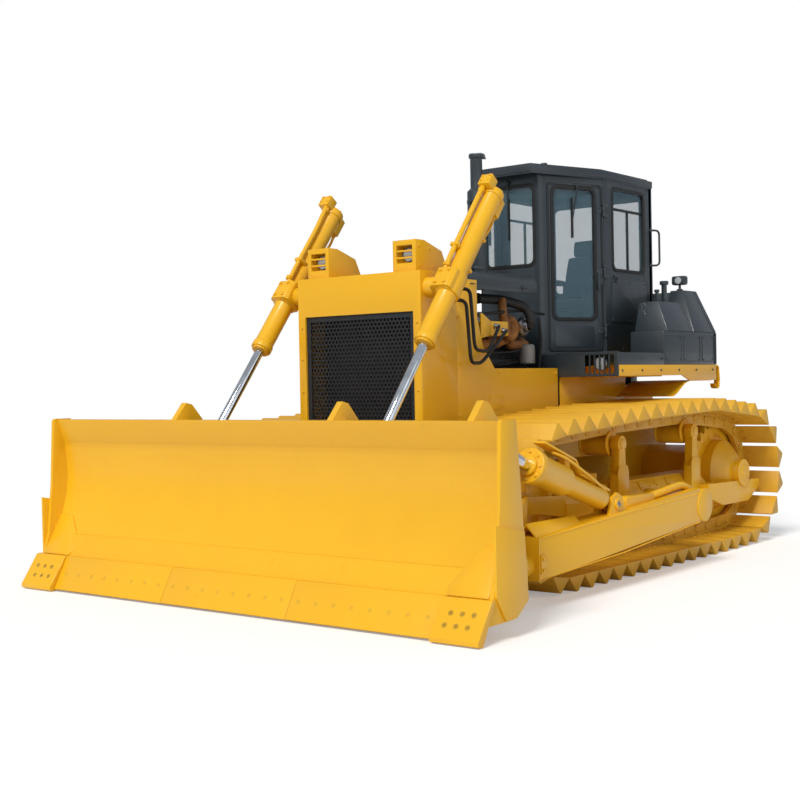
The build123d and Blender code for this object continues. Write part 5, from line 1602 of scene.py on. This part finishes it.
# Stage
def make_camera():
    yaw, pitch, roll = (radians(a) for a in (CAMERA_YAW, CAMERA_PITCH, CAMERA_ROLL))
    ahead = Vector((-sin(yaw) * cos(pitch), cos(yaw) * cos(pitch), sin(pitch)))
    right = Vector((cos(yaw), sin(yaw), 0))
    up = right.cross(ahead)
    side = right * cos(roll) + up * sin(roll)
    top = up * cos(roll) - right * sin(roll)
    data = bpy.data.cameras.new("camera")
    data.sensor_width = SENSOR
    data.lens = SENSOR * CAMERA_FOCAL / FRAME_PIXELS
    data.clip_end = 200
    camera = link(bpy.data.objects.new("camera", data))
    turn = Matrix((side, top, -ahead)).transposed().to_4x4()
    camera.matrix_world = Matrix.Translation(CAMERA_PLACE) @ turn
    bpy.context.scene.camera = camera


def make_lamp(name, kind, place, target, energy, size, colour=(1, 1, 1)):
    data = bpy.data.lights.new(name, kind)
    data.energy = energy
    data.color = colour
    if kind == "SUN":
        data.angle = size
    else:
        data.size = size
    lamp = link(bpy.data.objects.new(name, data))
    lamp.location = place
    lamp.rotation_mode = "QUATERNION"
    lamp.rotation_quaternion = (Vector(target) - Vector(place)).to_track_quat("-Z", "Y")


def make_world():
    world = bpy.data.worlds.new("studio")
    bpy.context.scene.world = world
    world.use_nodes = True
    tree = world.node_tree
    tree.nodes.clear()
    out = tree.nodes.new("ShaderNodeOutputWorld")
    light = add_node(tree, "ShaderNodeBackground", Color=(0.86, 0.92, 1.0, 1.0), Strength=0.42)
    seen = add_node(tree, "ShaderNodeBackground", Color=(1.0, 1.0, 1.0, 1.0), Strength=1.0)
    path = tree.nodes.new("ShaderNodeLightPath")
    mix = tree.nodes.new("ShaderNodeMixShader")
    tree.links.new(path.outputs["Is Camera Ray"], mix.inputs[0])
    tree.links.new(light.outputs[0], mix.inputs[1])
    tree.links.new(seen.outputs[0], mix.inputs[2])
    tree.links.new(mix.outputs[0], out.inputs[0])


def make_floor():
    mesh = bpy.data.meshes.new("floor")
    shape = bmesh.new()
    bmesh.ops.create_grid(shape, x_segments=1, y_segments=1, size=60)
    shape.to_mesh(mesh)
    shape.free()
    floor = link(bpy.data.objects.new("floor", mesh))
    material, tree, shader = new_material("floor_white")
    settle(shader, Base_Color=(0.80, 0.80, 0.80, 1), Roughness=0.9, Emission_Color=(1, 1, 1, 1))
    path = tree.nodes.new("ShaderNodeLightPath")
    glow = multiply(tree, path.outputs["Is Camera Ray"], 0.28)
    tree.links.new(glow, shader.inputs["Emission Strength"])
    mesh.materials.append(material)


make_camera()
make_world()
make_floor()
make_lamp("key", "SUN", (2.0, -9.0, 9.0), (0, 0, 0), 2.5, 0.35, (1.0, 0.97, 0.92))
make_lamp("fill", "SUN", (9.0, -2.0, 3.0), (0, 0, 1), 0.35, 0.9)
dress_frame()
for make_next in BUILDERS:
    make_next()

bpy.context.scene.view_settings.view_transform = "Standard"
